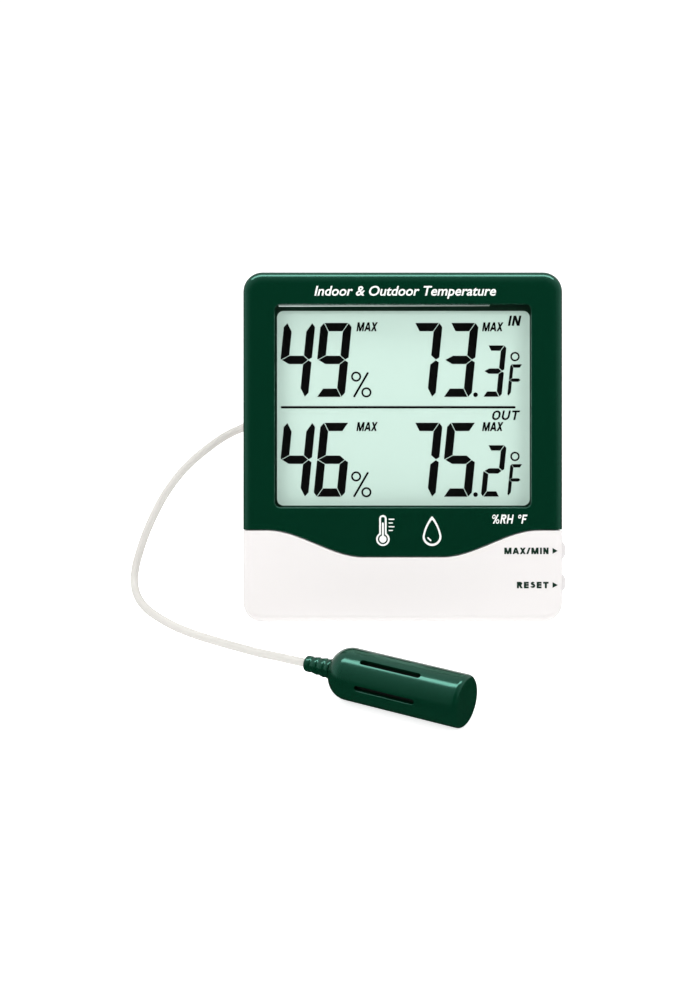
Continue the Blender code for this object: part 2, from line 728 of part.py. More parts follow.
def battery(case, look_of):
    axis = (BATTERY_DEPTH / MM, BATTERY_HEIGHT / MM)
    ends = (mm(-19, *axis), mm(24.3, *axis))
    cell = rod("battery_cell", *ends, BATTERY_RADIUS, case, look_of["battery"], sides=28)
    join(cell, rod("battery_nub", mm(24, *axis), mm(25.5, *axis), 1.9 * MM, case, sides=16))
    contact("battery_positive_plate", 1, case, look_of)
    contact("battery_negative_plate", -1, case, look_of)
    tube("battery_spring", spring_points(), 0.4 * MM, case, look_of["steel"])
    wire("battery_wire_positive", 1, case, look_of["red_wire"])
    wire("battery_wire_negative", -1, case, look_of["black_wire"])


def contact(name, side, case, look_of):
    """A flat battery contact with a tail through the compartment's end wall."""
    ends = sorted((side * 25.8, side * 26.2))
    leaf = box(name, mm(ends[0], 8.8, 70.9), mm(ends[1], 17.6, 80.2), case, look_of["steel"])
    ends = sorted((side * 25.9, side * 29.0))
    join(leaf, box(name + "_tail", mm(ends[0], 9.0, 70.7), mm(ends[1], 9.4, 72.5), case))


def spring_points(turns=4, per_turn=14, start=-25.3 * MM, end=-19.8 * MM, wide=3.9 * MM, narrow=2.4 * MM):
    points = []
    for step in range(turns * per_turn + 1):
        t = step / (turns * per_turn)
        radius = wide + (narrow - wide) * t
        angle = 2 * math.pi * turns * t
        depth = BATTERY_DEPTH + radius * math.cos(angle)
        points.append((start + (end - start) * t, depth, BATTERY_HEIGHT + radius * math.sin(angle)))
    return points


def wire(name, side, case, material):
    route = ((29.8, 9.2, 71.6), (29.9, 10.4, 68.2), (30.0, 12.6, 65.2), (30.0, 11.6, 59.0))
    points = [mm(side * across, depth, height) for across, depth, height in route]
    tube(name, smooth_route(points, 1.2 * MM), 0.5 * MM, case, material)


def battery_door(case, look_of):
    hinge = frame("door_hinge", (0.0, CASE_DEPTH, DOOR_LOW), parent=case)
    thickness = CASE_DEPTH - DOOR_FRONT
    high = (DOOR_HALF, 0.0, DOOR_HIGH - DOOR_LOW)
    door = box("battery_door", (-DOOR_HALF, -thickness, 0.0), high, hinge, look_of["white"])
    join(door, box("door_latch", mm(-5, -0.8, 15.0), mm(5, 0, 17.2), hinge))


# ---- Tilt stand ----


def tilt_stand(case, look_of):
    """A leg on two pins, open at its stop: a heel above the pins rests on the recess floor."""
    hinge = frame("stand_hinge", (0.0, STAND_DEPTH, STAND_HEIGHT), (STAND_OPEN, 0.0, 0.0), case)
    half = STAND_THICKNESS / 2
    foot = [(side * half, -leg_length(side * half)) for side in (-1, 1)]
    side_view = [(-half, 0.0), *foot, (half, 2.8 * MM), (0.1 * MM, 2.8 * MM), (0.1 * MM, 0.0)]
    reach = STAND_WIDTH / 2
    leg = plate("tilt_stand", side_view, -reach, reach, hinge, look_of["white"], axis="X")
    join(leg, rod("stand_barrel", mm(-19.6, 0, 0), mm(19.6, 0, 0), 1.2 * MM, hinge))
    join(leg, rod("stand_pin", mm(-21.5, 0, 0), mm(21.5, 0, 0), 0.95 * MM, hinge, sides=16))


def leg_length(offset):
    """Distance down the leg, at an offset across its thickness, to the surface the case stands on."""
    lean = STAND_OPEN - CASE_LEAN
    return (pivot_height() + offset * math.sin(lean)) / math.cos(lean)


def pivot_height():
    return case_origin().z - STAND_DEPTH * math.sin(CASE_LEAN) + STAND_HEIGHT * math.cos(CASE_LEAN)


def case_origin():
    """Where the case frame sits so that the middle of the foot plane is the world's origin."""
    foot = Vector((0.0, FOOT_MIDDLE, (FOOT_MIDDLE - FOOT_START) * math.tan(CASE_LEAN)))
    return -(Matrix.Rotation(-CASE_LEAN, 3, "X") @ foot)


# ---- Probe lead and probe ----


def probe_lead(case, look_of):
    lead = bpy.data.objects["lead_axis"]
    low, high = mm(-12.9, -2.1, -2.3), mm(-9.6, 1.9, 2.3)
    grommet = box("cable_grommet", low, high, lead, look_of["lead"], rounding=0.3 * MM)
    ends = (mm(-10, 0, 0), mm(-6.7, 0, 0))
    join(grommet, rod("grommet_nozzle", *ends, 1.35 * MM, lead, end_radius=1.3 * MM, sides=16))
    route = [mm(*point) for point in LEAD_ROUTE_MM]
    tube("probe_cable", smooth_route(route, LEAD_SPACING), LEAD_RADIUS, None, look_of["lead"])


def arc(centre, radius, start, end, steps):
    """Points (along, out) on an arc, with angles in degrees from +X towards outwards."""
    points = []
    for step in range(steps + 1):
        angle = math.radians(start + (end - start) * step / steps)
        points.append((centre[0] + radius * math.cos(angle), centre[1] + radius * math.sin(angle)))
    return points


def probe(look_of):
    axis = frame("probe_frame", PROBE_PLACE, (0.0, 0.0, PROBE_TURN))
    probe_shell(axis, look_of)
    probe_end_cap(axis, look_of)
    probe_boot(axis, look_of)
    box("probe_pcb", mm(9, -4, -0.5), mm(37.5, 4, 0.5), axis, look_of["board"])
    box("probe_humidity_sensor", mm(15, -3.2, 0.8), mm(25, 3.2, 3.6), axis, look_of["sensor"])
    bead(axis, "probe_thermistor", mm(32, 0, 3.0), Vector((0, 0, -1)), 2.2 * MM, look_of)


def probe_shell(axis, look_of):
    """A tube with a domed shoulder, open at its far end, with a long slot through each of four sides."""
    inner = PROBE_RADIUS - PROBE_WALL
    end = PROBE_LENGTH - PROBE_CAP_LENGTH - GAP
    shoulder = (PROBE_SHOULDER, PROBE_RADIUS - PROBE_SHOULDER)
    outside = [(0.0, 2.6 * MM)] + arc(shoulder, PROBE_SHOULDER, 160, 90, 6) + [(end, PROBE_RADIUS)]
    inside_shoulder = (PROBE_SHOULDER, inner - 4.5 * MM)
    inside = [(end, inner)] + arc(inside_shoulder, 4.5 * MM, 90, 160, 4) + [(PROBE_WALL, 2.6 * MM)]
    shell = turned("probe_shell", outside + inside, axis, look_of["green"])
    for index, turn in enumerate(SLOT_TURNS, start=1):
        low = (SLOT_START, -SLOT_WIDTH / 2, 4.5 * MM)
        high = (SLOT_END, SLOT_WIDTH / 2, 9.0 * MM)
        slot = box("probe_slot_%d" % index, low, high, axis)
        slot.data.transform(Matrix.Translation(slot.location))
        slot.location = (0.0, 0.0, 0.0)
        slot.rotation_euler = (math.radians(90.0 - turn), 0.0, 0.0)
        cut(shell, slot)


def probe_end_cap(axis, look_of):
    """The flat far end, with a rounded rim and a spigot inside the tube."""
    start = PROBE_LENGTH - PROBE_CAP_LENGTH
    rim = 1.4 * MM
    corner = (PROBE_LENGTH - rim, PROBE_RADIUS - rim)
    spigot = PROBE_RADIUS - PROBE_WALL - GAP
    axis_end = (PROBE_LENGTH, 0.0)
    profile = [(start - 2.2 * MM, 0.0), (start - 2.2 * MM, spigot), (start, spigot), (start, PROBE_RADIUS)]
    turned("probe_end_cap", profile + arc(corner, rim, 90, 0, 4) + [axis_end], axis, look_of["green"])


def probe_boot(axis, look_of):
    """A ribbed strain relief that widens towards the probe, with a neck inside the shoulder's hole."""
    profile = [(-BOOT_LENGTH, 0.0), (-BOOT_LENGTH, 1.9 * MM), (-BOOT_LENGTH + 0.5 * MM, 2.35 * MM)]
    for rib in range(3):
        along = (-BOOT_LENGTH + 1.6 * MM) + rib * 2.4 * MM
        wide = (2.4 + 0.22 * rib) * MM
        groove = wide - 0.35 * MM
        profile += [(along, wide), (along + 0.3 * MM, groove)]
        profile += [(along + 1.0 * MM, groove), (along + 1.3 * MM, wide)]
    profile += [(-GAP, 3.0 * MM), (-GAP, 2.3 * MM), (2.6 * MM, 2.3 * MM), (2.6 * MM, 0.0)]
    turned("probe_boot", profile, axis, look_of["green"], steps=24)


def build():
    clear_scene()
    look_of = looks()
    case = frame("case_frame", case_origin(), (-CASE_LEAN, 0.0, 0.0))
    front_housing(case, look_of)
    face_bezel(case, look_of)
    rear_cover(case, look_of)
    case_screws(case, look_of)
    display(case, look_of)
    circuit_board(case, look_of)
    side_button("max_min", MAX_MIN_HEIGHT, case, look_of)
    side_button("reset", RESET_HEIGHT, case, look_of)
    units_switch(case, look_of)
    battery(case, look_of)
    battery_door(case, look_of)
    tilt_stand(case, look_of)
    probe_lead(case, look_of)
    probe(look_of)


build()
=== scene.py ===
"""Looks of the maximum minimum thermometer: its case, display, tilt stand, lead and probe.

Shapes are modelled in millimetres in the frame of their own part (case, stand, door, probe), then
scaled to metres and put in place. In the case frame X is to the right, Y runs from the display face
(0) to the back (20), and Z runs up from the case's foot.
"""

import math

import bmesh
import bpy
import numpy as np
from mathutils import Matrix, Vector
from mathutils.geometry import delaunay_2d_cdt


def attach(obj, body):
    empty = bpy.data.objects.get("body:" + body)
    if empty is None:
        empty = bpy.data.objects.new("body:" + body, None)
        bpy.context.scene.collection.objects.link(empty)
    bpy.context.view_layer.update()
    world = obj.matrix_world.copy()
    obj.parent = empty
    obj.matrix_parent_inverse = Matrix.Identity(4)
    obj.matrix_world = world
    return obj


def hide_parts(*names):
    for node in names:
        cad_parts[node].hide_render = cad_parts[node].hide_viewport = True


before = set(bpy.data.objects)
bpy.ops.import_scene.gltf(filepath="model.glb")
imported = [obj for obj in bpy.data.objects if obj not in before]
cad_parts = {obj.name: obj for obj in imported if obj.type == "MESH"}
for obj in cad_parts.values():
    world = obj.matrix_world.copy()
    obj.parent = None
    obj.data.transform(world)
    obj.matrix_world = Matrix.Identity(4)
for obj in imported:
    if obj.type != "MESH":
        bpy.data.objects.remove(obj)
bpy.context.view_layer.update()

MM = 0.001
CASE_LEAN = 20.0
LEAN = Matrix.Rotation(math.radians(-CASE_LEAN), 4, "X")
CASE = Matrix.Translation((0.0, -0.015690445, 0.004548868)) @ LEAN
STAND = CASE @ Matrix.Translation((0.0, 0.0182, 0.058)) @ Matrix.Rotation(math.radians(30.0), 4, "X")
DOOR = CASE @ Matrix.Translation((0.0, 0.020, 0.0677))
EDGE_TURN = Matrix.Rotation(math.radians(153.0), 4, "Y")
LEAD_EDGE = CASE @ Matrix.Translation((-0.0495, 0.0177, 0.0614)) @ EDGE_TURN
PROBE = Matrix.Translation((-0.0212, -0.05625, 0.00765)) @ Matrix.Rotation(math.radians(-29.4), 4, "Z")

# Case sizes, in millimetres. WINDOW is half the width, half the height and the corner radius
HALF_WIDTH = 49.5
HEIGHT = 108.5
DEPTH = 20.0
CORNER = 6.0
FACE_ROUNDING = 2.5
BACK_ROUNDING = 1.5
SPLIT = 13.0
GAP = 0.3
RIM = 0.35
WINDOW = (39.7, 31.45, 1.8)
WINDOW_MIDDLE = 66.95
SCREWS = [(x, z) for z in (5.5, 102.6) for x in (-43.4, 43.4)]

# The green front's lower edge: level in the middle, up in a wave on both sides, then level again
WAVE_LEVEL = 12.2
WAVE_RUN = 29.8
WAVE_LOW = 20.2
WAVE_RISE = 8.3
PAST_SIDE = 54.5

# Buttons: their heights on the right wall, the depth of their middle, and half of their depth and height
BUTTON_HEIGHTS = {"max_min": 22.1, "reset": 12.0}
BUTTON_DEPTH = 7.0
BUTTON_HALF = (2.2, 3.3)

# The stand: the depth and height of its pivot, and half of its leg's thickness
PIVOT = (18.2, 58.0)
LEG_HALF = 1.1

# Printed sheets: their thickness, and how deep the display's ink lies
SHEET = 0.06
INK_DEPTH = 4.66

# Brightness of the white tent all round
TENT = 0.62

# Lead route in millimetres, the same points as in the CAD model
LEAD_RADIUS = 1.25
LEAD_ROUTE = (
    (-43.8, 22.93, 58.92),
    (-47.0, 22.38, 57.39),
    (-50.5, 21.8, 55.72),
    (-54.5, 21.55, 53.9),
    (-58.3, 21.5, 51.6),
    (-64.0, 21.4, 47.2),
    (-68.4, 21.35, 43.2),
    (-72.3, 21.3, 38.7),
    (-76.5, 21.3, 32.6),
    (-79.9, 21.3, 26.2),
    (-82.7, 21.3, 20.0),
    (-84.8, 21.2, 14.2),
    (-86.3, 20.4, 9.2),
    (-86.8, 18.4, 5.5),
    (-86.3, 15.0, 3.0),
    (-84.6, 9.9, 1.6),
    (-81.8, 3.5, 1.3),
    (-78.1, -2.7, 1.3),
    (-71.5, -11.0, 1.3),
    (-64.6, -17.3, 1.3),
    (-57.5, -23.0, 1.6),
    (-50.6, -29.6, 2.6),
    (-43.7, -37.4, 4.3),
    (-37.2, -45.0, 6.4),
    (-33.4, -48.9, 7.3),
    (-29.25, -51.67, 7.65),
)


# ---- Camera, light and floor ----


def new_object(name, data):
    obj = bpy.data.objects.new(name, data)
    bpy.context.scene.collection.objects.link(obj)
    return obj


def camera():
    data = bpy.data.cameras.new("camera")
    data.lens = 65.2
    data.sensor_width = 36.0
    data.clip_start = 0.01
    data.clip_end = 30.0
    obj = new_object("camera", data)
    obj.location = (-0.01637, -0.52898, 0.23161)
    obj.rotation_euler = (math.radians(70.0), 0.0, 0.0)
    bpy.context.scene.camera = obj


def lamp(name, place, aim, size, power, glossy=True):
    data = bpy.data.lights.new(name, "AREA")
    data.shape = "RECTANGLE"
    data.size, data.size_y = size
    data.energy = power
    obj = new_object(name, data)
    obj.location = place
    obj.rotation_euler = (Vector(aim) - Vector(place)).to_track_quat("-Z", "Y").to_euler()
    obj.visible_glossy = glossy


def new_node(tree, kind, **sockets):
    node = tree.nodes.new(kind)
    for name, value in sockets.items():
        node.inputs[name.replace("_", " ")].default_value = value
    return node


def ramp(tree, value, low, high, bottom=0.0, top=1.0, shape="LINEAR"):
    """A value that goes from bottom to top as another goes from low to high."""
    node = new_node(tree, "ShaderNodeMapRange", From_Min=low, From_Max=high, To_Min=bottom, To_Max=top)
    node.interpolation_type = shape
    tree.links.new(value, node.inputs["Value"])
    return node.outputs[0]


def arithmetic(tree, operation, *values):
    """The result of a sum whose values are sockets or numbers."""
    node = tree.nodes.new("ShaderNodeMath")
    node.operation = operation
    for socket, value in zip(node.inputs, values):
        if isinstance(value, float):
            socket.default_value = value
        else:
            tree.links.new(value, socket)
    return node.outputs[0]


def generated(tree):
    """The three parts of the generated coordinate: a direction in the world, a share of a piece's box."""
    coords = tree.nodes.new("ShaderNodeTexCoord")
    parts = tree.nodes.new("ShaderNodeSeparateXYZ")
    tree.links.new(coords.outputs["Generated"], parts.inputs[0])
    return parts.outputs


def studio():
    """A white tent behind, dark below and in front of the glossy face, with soft boxes."""
    bpy.context.scene.view_settings.view_transform = "Standard"
    world = bpy.data.worlds.new("studio")
    world.use_nodes = True
    tree = world.node_tree
    background = tree.nodes["Background"]
    background.inputs["Color"].default_value = (1.0, 1.0, 1.0, 1.0)
    direction = generated(tree)
    behind = ramp(tree, direction["Y"], -0.75, 0.05, 0.02, TENT)
    above = ramp(tree, direction["Z"], -0.12, 0.06, 0.02, 1.0)
    seen = tree.nodes.new("ShaderNodeLightPath")
    choose = tree.nodes.new("ShaderNodeMix")
    choose.inputs[3].default_value = 1.0
    tree.links.new(seen.outputs["Is Camera Ray"], choose.inputs[0])
    tree.links.new(arithmetic(tree, "MULTIPLY", behind, above), choose.inputs[2])
    tree.links.new(choose.outputs[0], background.inputs["Strength"])
    bpy.context.scene.world = world
    lamp("top_box", (0.0, 0.02, 0.85), (0.0, 0.0, 0.05), (1.3, 0.20), 4.8)
    lamp("left_box", (-0.62, -0.52, 0.58), (0.0, 0.0, 0.04), (0.5, 0.6), 3.6, glossy=False)
    lamp("right_box", (0.62, -0.52, 0.58), (0.0, 0.0, 0.04), (0.5, 0.6), 3.3, glossy=False)
    mesh = bpy.data.meshes.new("floor")
    mesh.from_pydata([(-9, -9, 0), (9, -9, 0), (9, 9, 0), (-9, 9, 0)], [], [(0, 1, 2, 3)])
    floor = new_object("floor", mesh)
    lit = glow(1.0, 1.0, 1.0, 0.75)
    mesh.materials.append(surface("floor_paper", (0.72, 0.72, 0.72), 0.9, mottle=0.005, bump=0.02, **lit))
    floor.visible_glossy = False


# ---- Materials ----


def noise(tree, scale, detail):
    """A noise that stays with the piece as it moves."""
    coords = tree.nodes.new("ShaderNodeTexCoord")
    node = new_node(tree, "ShaderNodeTexNoise", Scale=scale, Detail=detail)
    tree.links.new(coords.outputs["Object"], node.inputs["Vector"])
    return node.outputs["Fac"]


def relief(tree, height, strength, distance):
    node = new_node(tree, "ShaderNodeBump", Strength=strength, Distance=distance)
    tree.links.new(height, node.inputs["Height"])
    return node.outputs[0]


def blend(tree, amount, first, second):
    """A colour between two others, which are sockets or tuples of red, green and blue."""
    node = tree.nodes.new("ShaderNodeMix")
    node.data_type = "RGBA"
    tree.links.new(amount, node.inputs[0])
    for socket, colour in ((node.inputs[6], first), (node.inputs[7], second)):
        if isinstance(colour, tuple):
            socket.default_value = (*colour, 1.0)
        else:
            tree.links.new(colour, socket)
    return node.outputs[2]


def glow(red, green, blue, strength):
    return {"Emission_Color": (red, green, blue, 1.0), "Emission_Strength": strength}


def surface(name, colour, roughness, spread=0.04, mottle=0.03, clouds=60.0, bump=0.1, grain=2200.0, **more):
    """A finish with slight changes of shade and gloss over it and a fine grain."""
    material = bpy.data.materials.new(name)
    material.use_nodes = True
    tree = material.node_tree
    shader = tree.nodes["Principled BSDF"]
    darker = tuple(part * (1 - mottle) for part in colour)
    lighter = tuple(min(part * (1 + mottle), 1.0) for part in colour)
    shades = blend(tree, noise(tree, clouds, 4.0), darker, lighter)
    smudges = noise(tree, clouds * 3.0, 5.0)
    gloss = ramp(tree, smudges, 0.0, 1.0, max(roughness - spread, 0.02), min(roughness + spread, 1.0))
    tree.links.new(shades, shader.inputs["Base Color"])
    tree.links.new(gloss, shader.inputs["Roughness"])
    tree.links.new(relief(tree, noise(tree, grain, 2.0), bump, 0.00004), shader.inputs["Normal"])
    for socket, value in more.items():
        shader.inputs[socket.replace("_", " ")].default_value = value
    return material


def tinted(material, amount, colour):
    """Blend a second colour into a finish, as much as amount says."""
    tree = material.node_tree
    shown = tree.nodes["Principled BSDF"].inputs["Base Color"]
    tree.links.new(blend(tree, amount, shown.links[0].from_socket, colour), shown)
    return material


def striped(material, colour, scale, axis, sharp):
    """Lay bands of a second colour over a finish."""
    tree = material.node_tree
    coords = tree.nodes.new("ShaderNodeTexCoord")
    wave = new_node(tree, "ShaderNodeTexWave", Scale=scale)
    wave.bands_direction = axis
    tree.links.new(coords.outputs["Object"], wave.inputs["Vector"])
    return tinted(material, ramp(tree, wave.outputs["Fac"], sharp - 0.02, sharp + 0.02), colour)


def clear_window(name):
    """Clear acrylic that lets lamps through: a see-through sheet with a mirror gloss over its outside."""
    material = bpy.data.materials.new(name)
    material.use_nodes = True
    tree = material.node_tree
    tree.nodes.remove(tree.nodes["Principled BSDF"])
    see = new_node(tree, "ShaderNodeBsdfTransparent", Color=(0.985, 0.995, 0.99, 1.0))
    shine = new_node(tree, "ShaderNodeBsdfGlossy", Color=(1.0, 1.0, 1.0, 1.0), Roughness=0.05)
    tree.links.new(relief(tree, noise(tree, 25.0, 1.0), 0.05, 0.0001), shine.inputs["Normal"])
    mirrored = new_node(tree, "ShaderNodeFresnel", IOR=1.45)
    facing = tree.nodes.new("ShaderNodeNewGeometry")
    outside = arithmetic(tree, "SUBTRACT", 1.0, facing.outputs["Backfacing"])
    mix = tree.nodes.new("ShaderNodeMixShader")
    tree.links.new(arithmetic(tree, "MULTIPLY", mirrored.outputs[0], outside), mix.inputs[0])
    tree.links.new(see.outputs[0], mix.inputs[1])
    tree.links.new(shine.outputs[0], mix.inputs[2])
    tree.links.new(mix.outputs[0], tree.nodes["Material Output"].inputs["Surface"])
    return material


def display_glass_painted_light(name):
    """Reflective display: pale green, with painted shade that darkens it a little towards the rim of its
    window, and a faint painted glow, though it has no backlight, that evens out the shade of its recess.
    """
    # painted light: a faint glow, though the display has no backlight, evens out the shade of its recess
    lit = glow(0.62, 0.80, 0.715, 0.30)
    material = surface(name, (0.475, 0.590, 0.540), 0.35, mottle=0.012, clouds=25.0, bump=0.02, **lit)
    tree = material.node_tree
    place = generated(tree)
    # painted shade: the display darkens a little towards the rim of its window, where the recess shades it
    shades = []
    for axis, reach in (("X", 0.03), ("Z", 0.05)):
        off_middle = arithmetic(tree, "ABSOLUTE", arithmetic(tree, "SUBTRACT", place[axis], 0.5))
        shades.append(ramp(tree, off_middle, 0.5 - reach, 0.492, 0.0, 0.05, "SMOOTHSTEP"))
    return tinted(material, arithmetic(tree, "MAXIMUM", *shades), (0.36, 0.50, 0.44))


def make_materials():
    mint = (0.36, 1.0, 0.80, 1.0)
    green = (0.0007, 0.0250, 0.0112)
    silicone = surface("zebra_silicone", (0.62, 0.42, 0.44), 0.7, bump=0.05)
    mask = surface("solder_mask", (0.012, 0.12, 0.045), 0.35, mottle=0.15, bump=0.12)
    sleeve = surface("cell_sleeve", (0.03, 0.035, 0.05), 0.25, mottle=0.1, bump=0.02)
    metal = dict(spread=0.08, mottle=0.06, bump=0.08, Metallic=1.0)
    ink = dict(mottle=0.2, bump=0.02, Specular_IOR_Level=0.1)
    # painted highlight: the strip behind the lens's top edge glows faintly, standing in for a glint of light
    # on the lens's bevel
    painted_glint_glow = glow(0.80, 0.92, 0.88, 0.35)
    return {
        "green": surface(
            "green_gloss", green, 0.15, spread=0.03, mottle=0.05, bump=0.004, Specular_Tint=mint, IOR=1.8
        ),
        "white": surface("warm_white_satin", (0.795, 0.770, 0.762), 0.42, mottle=0.012, bump=0.10),
        "button": surface("button_rubber", (0.70, 0.68, 0.68), 0.5, mottle=0.02, bump=0.12),
        "clear": clear_window("clear_acrylic"),
        "lcd": display_glass_painted_light("display_glass_painted_light"),
        "ink": surface("display_ink", (0.002, 0.002, 0.002), 0.6, **ink),
        "green_print": surface("green_print", (0.0008, 0.022, 0.010), 0.45, mottle=0.08, bump=0.04),
        "white_print": surface("white_print", (0.9, 0.9, 0.88), 0.4, mottle=0.01, bump=0.03),
        "jacket": surface("lead_jacket_pvc", (0.66, 0.645, 0.61), 0.42, mottle=0.02, bump=0.08),
        "rubber": striped(silicone, (0.03, 0.03, 0.03), 900.0, "X", 0.55),
        "board": striped(mask, (0.03, 0.22, 0.08), 260.0, "Z", 0.8),
        "chip": surface("black_resin", (0.012, 0.012, 0.014), 0.38, mottle=0.2, bump=0.15),
        "steel": surface("plated_metal", (0.62, 0.62, 0.60), 0.28, **metal),
        "sensor": surface("sensor_housing", (0.72, 0.75, 0.78), 0.55, mottle=0.04, bump=0.1),
        "bead": surface("dipped_bead", (0.02, 0.02, 0.022), 0.3, mottle=0.2, bump=0.05),
        "battery": striped(sleeve, (0.55, 0.36, 0.08), 9.0, "X", 0.75),
        "red": surface("red_insulation", (0.5, 0.015, 0.015), 0.42, mottle=0.06),
        "black": surface("black_insulation", (0.015, 0.015, 0.015), 0.42, mottle=0.2),
        "mesh": surface("filter_cloth", (0.006, 0.008, 0.007), 0.9, mottle=0.3, bump=0.6, grain=1800.0),
        # painted highlight: a pale, glowing colour for the glint strip behind the lens's top edge
        "painted_glint": surface("lens_edge_painted_glint", (0.80, 0.90, 0.86), 0.6, mottle=0.05, bump=0.1, **painted_glint_glow),
        "knob": surface("black_switch_knob", (0.02, 0.02, 0.022), 0.45, mottle=0.2, bump=0.1),
    }


# ---- Mesh tools ----


def mesh_object(name, bm):
    bmesh.ops.recalc_face_normals(bm, faces=bm.faces)
    mesh = bpy.data.meshes.new(name)
    bm.to_mesh(mesh)
    bm.free()
    return new_object(name, mesh)


def loft(name, rings, closed=False):
    """A closed solid through rings of points. Rings that close on themselves make a torus."""
    bm = bmesh.new()
    rows = [[bm.verts.new(point) for point in ring] for ring in rings]
    pairs = list(zip(rows, rows[1:])) + ([(rows[-1], rows[0])] if closed else [])
    for first, second in pairs:
        for index in range(len(first)):
            following = (index + 1) % len(first)
            bm.faces.new((first[index], first[following], second[following], second[index]))
    if not closed:
        bm.faces.new(rows[0])
        bm.faces.new(rows[-1])
    return mesh_object(name, bm)


def arc(start, end, steps):
    return [math.radians(start + (end - start) * step / steps) for step in range(steps + 1)]


def full_turn(steps):
    return [2 * math.pi * step / steps for step in range(steps)]


def around(centre, radius, start, end, steps):
    x, z = centre
    return [(x + radius * math.cos(a), z + radius * math.sin(a)) for a in arc(start, end, steps)]


def rounded(low, high, radius, steps=10):
    """A rectangle from low to high whose corners are arcs."""
    centres = ((high[0], high[1], -1, -1, 0), (low[0], high[1], 1, -1, 90))
    centres += ((low[0], low[1], 1, 1, 180), (high[0], low[1], -1, 1, 270))
    points = []
    for across, up, side, rise, start in centres:
        for angle in arc(start, start + 90, steps):
            x = across + side * radius + radius * math.cos(angle)
            points.append((x, up + rise * radius + radius * math.sin(angle)))
    return points


def along_y(outline, depth):
    return [(x, depth, z) for x, z in outline]


def case_outline(inset, bottom=None):
    low = inset if bottom is None else bottom
    half = HALF_WIDTH - inset
    return rounded((-half, low), (half, HEIGHT - inset), max(CORNER - inset, 1.5))


def case_block(name, start, end, round_start=0.0, round_end=0.0, steps=8, widen=1.0):
    """The case's outline from start to end, with a rounded edge at either end. The first can be widened."""
    rings = []
    if round_start:
        for angle in arc(0, 90, steps):
            inset = round_start * widen * (1 - math.sin(angle))
            rings.append(along_y(case_outline(inset), start + round_start * (1 - math.cos(angle))))
    else:
        rings.append(along_y(case_outline(0.0), start))
    if round_end:
        for angle in arc(0, 90, steps):
            inset = round_end * (1 - math.cos(angle))
            rings.append(along_y(case_outline(inset), end - round_end * (1 - math.sin(angle))))
    else:
        rings.append(along_y(case_outline(0.0), end))
    return loft(name, rings)


def slab(name, outline, start, end):
    return loft(name, [along_y(outline, start), along_y(outline, end)])


def box(name, low, high):
    return slab(name, rounded((low[0], low[2]), (high[0], high[2]), 0.02, 1), low[1], high[1])


def pocket(name, low, high, radius, floor, mouth=DEPTH, flare=0.3, steps=4):
    """A cutter for a pocket in a face at mouth, whose edge there is rounded by flare."""
    side = 1.0 if mouth > floor else -1.0

    def ring(grow, depth):
        corners = ((low[0] - grow, low[1] - grow), (high[0] + grow, high[1] + grow))
        return along_y(rounded(*corners, radius + grow, 6), depth)

    rings = [ring(0.0, floor)]
    for angle in arc(0, 90, steps):
        rings.append(ring(flare * (1 - math.cos(angle)), mouth - side * flare * (1 - math.sin(angle))))
    rings.append(ring(flare, mouth + side))
    return loft(name, rings)


def hoop(middle, across, other, radius, sides):
    """A ring of points in the plane of two directions, across and other."""
    return [middle + radius * (math.cos(t) * across + math.sin(t) * other) for t in full_turn(sides)]


def rod(name, start, end, radius, end_radius=None, sides=32):
    """A round bar or a cone between two points."""
    start, end = Vector(start), Vector(end)
    run = (end - start).normalized()
    across = run.orthogonal().normalized()
    other = run.cross(across)
    end_radius = radius if end_radius is None else end_radius
    sizes = ((start, radius), (end, end_radius))
    return loft(name, [hoop(middle, across, other, size, sides) for middle, size in sizes])


def apply_all(obj):
    """Turn an object's modifiers into mesh."""
    depsgraph = bpy.context.evaluated_depsgraph_get()
    mesh = bpy.data.meshes.new_from_object(obj.evaluated_get(depsgraph))
    obj.modifiers.clear()
    obj.data = mesh


def combine(target, tools, operation):
    for tool in tools:
        change = target.modifiers.new(tool.name, "BOOLEAN")
        change.operation = operation
        change.object = tool
        change.solver = "EXACT"
    apply_all(target)
    for tool in tools:
        bpy.data.objects.remove(tool, do_unlink=True)
    return target


def cut(target, *tools):
    return combine(target, tools, "DIFFERENCE")


def join(target, *tools):
    return combine(target, tools, "UNION")


def settle(obj, place, body, material, replaces=(), sharp=38.0):
    """Scale a finished shape to metres, put it in place and let it ride on its body."""
    mesh = obj.data
    bm = bmesh.new()
    bm.from_mesh(mesh)
    bmesh.ops.remove_doubles(bm, verts=bm.verts, dist=0.0005)
    bmesh.ops.dissolve_degenerate(bm, edges=bm.edges, dist=0.0005)
    bm.to_mesh(mesh)
    bm.free()
    mesh.transform(Matrix.Scale(MM, 4))
    mesh.materials.clear()
    mesh.materials.append(material)
    mesh.shade_smooth()
    mesh.set_sharp_from_angle(angle=math.radians(sharp))
    weigh = obj.modifiers.new("face_weighted_normals", "WEIGHTED_NORMAL")
    weigh.keep_sharp = True
    obj.matrix_world = place
    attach(obj, body)
    if replaces:
        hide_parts(*replaces)
    return obj


def turned(name, profile, steps=72):
    """Turn a profile of (along X, radius) about X. It starts and ends on the axis, or closes into a ring."""
    solid = profile[0][1] == 0.0
    inner = profile[1:-1] if solid else profile
    rings = [[(x, r * math.sin(t), r * math.cos(t)) for t in full_turn(steps)] for x, r in inner]
    return loft(name, rings, closed=not solid)


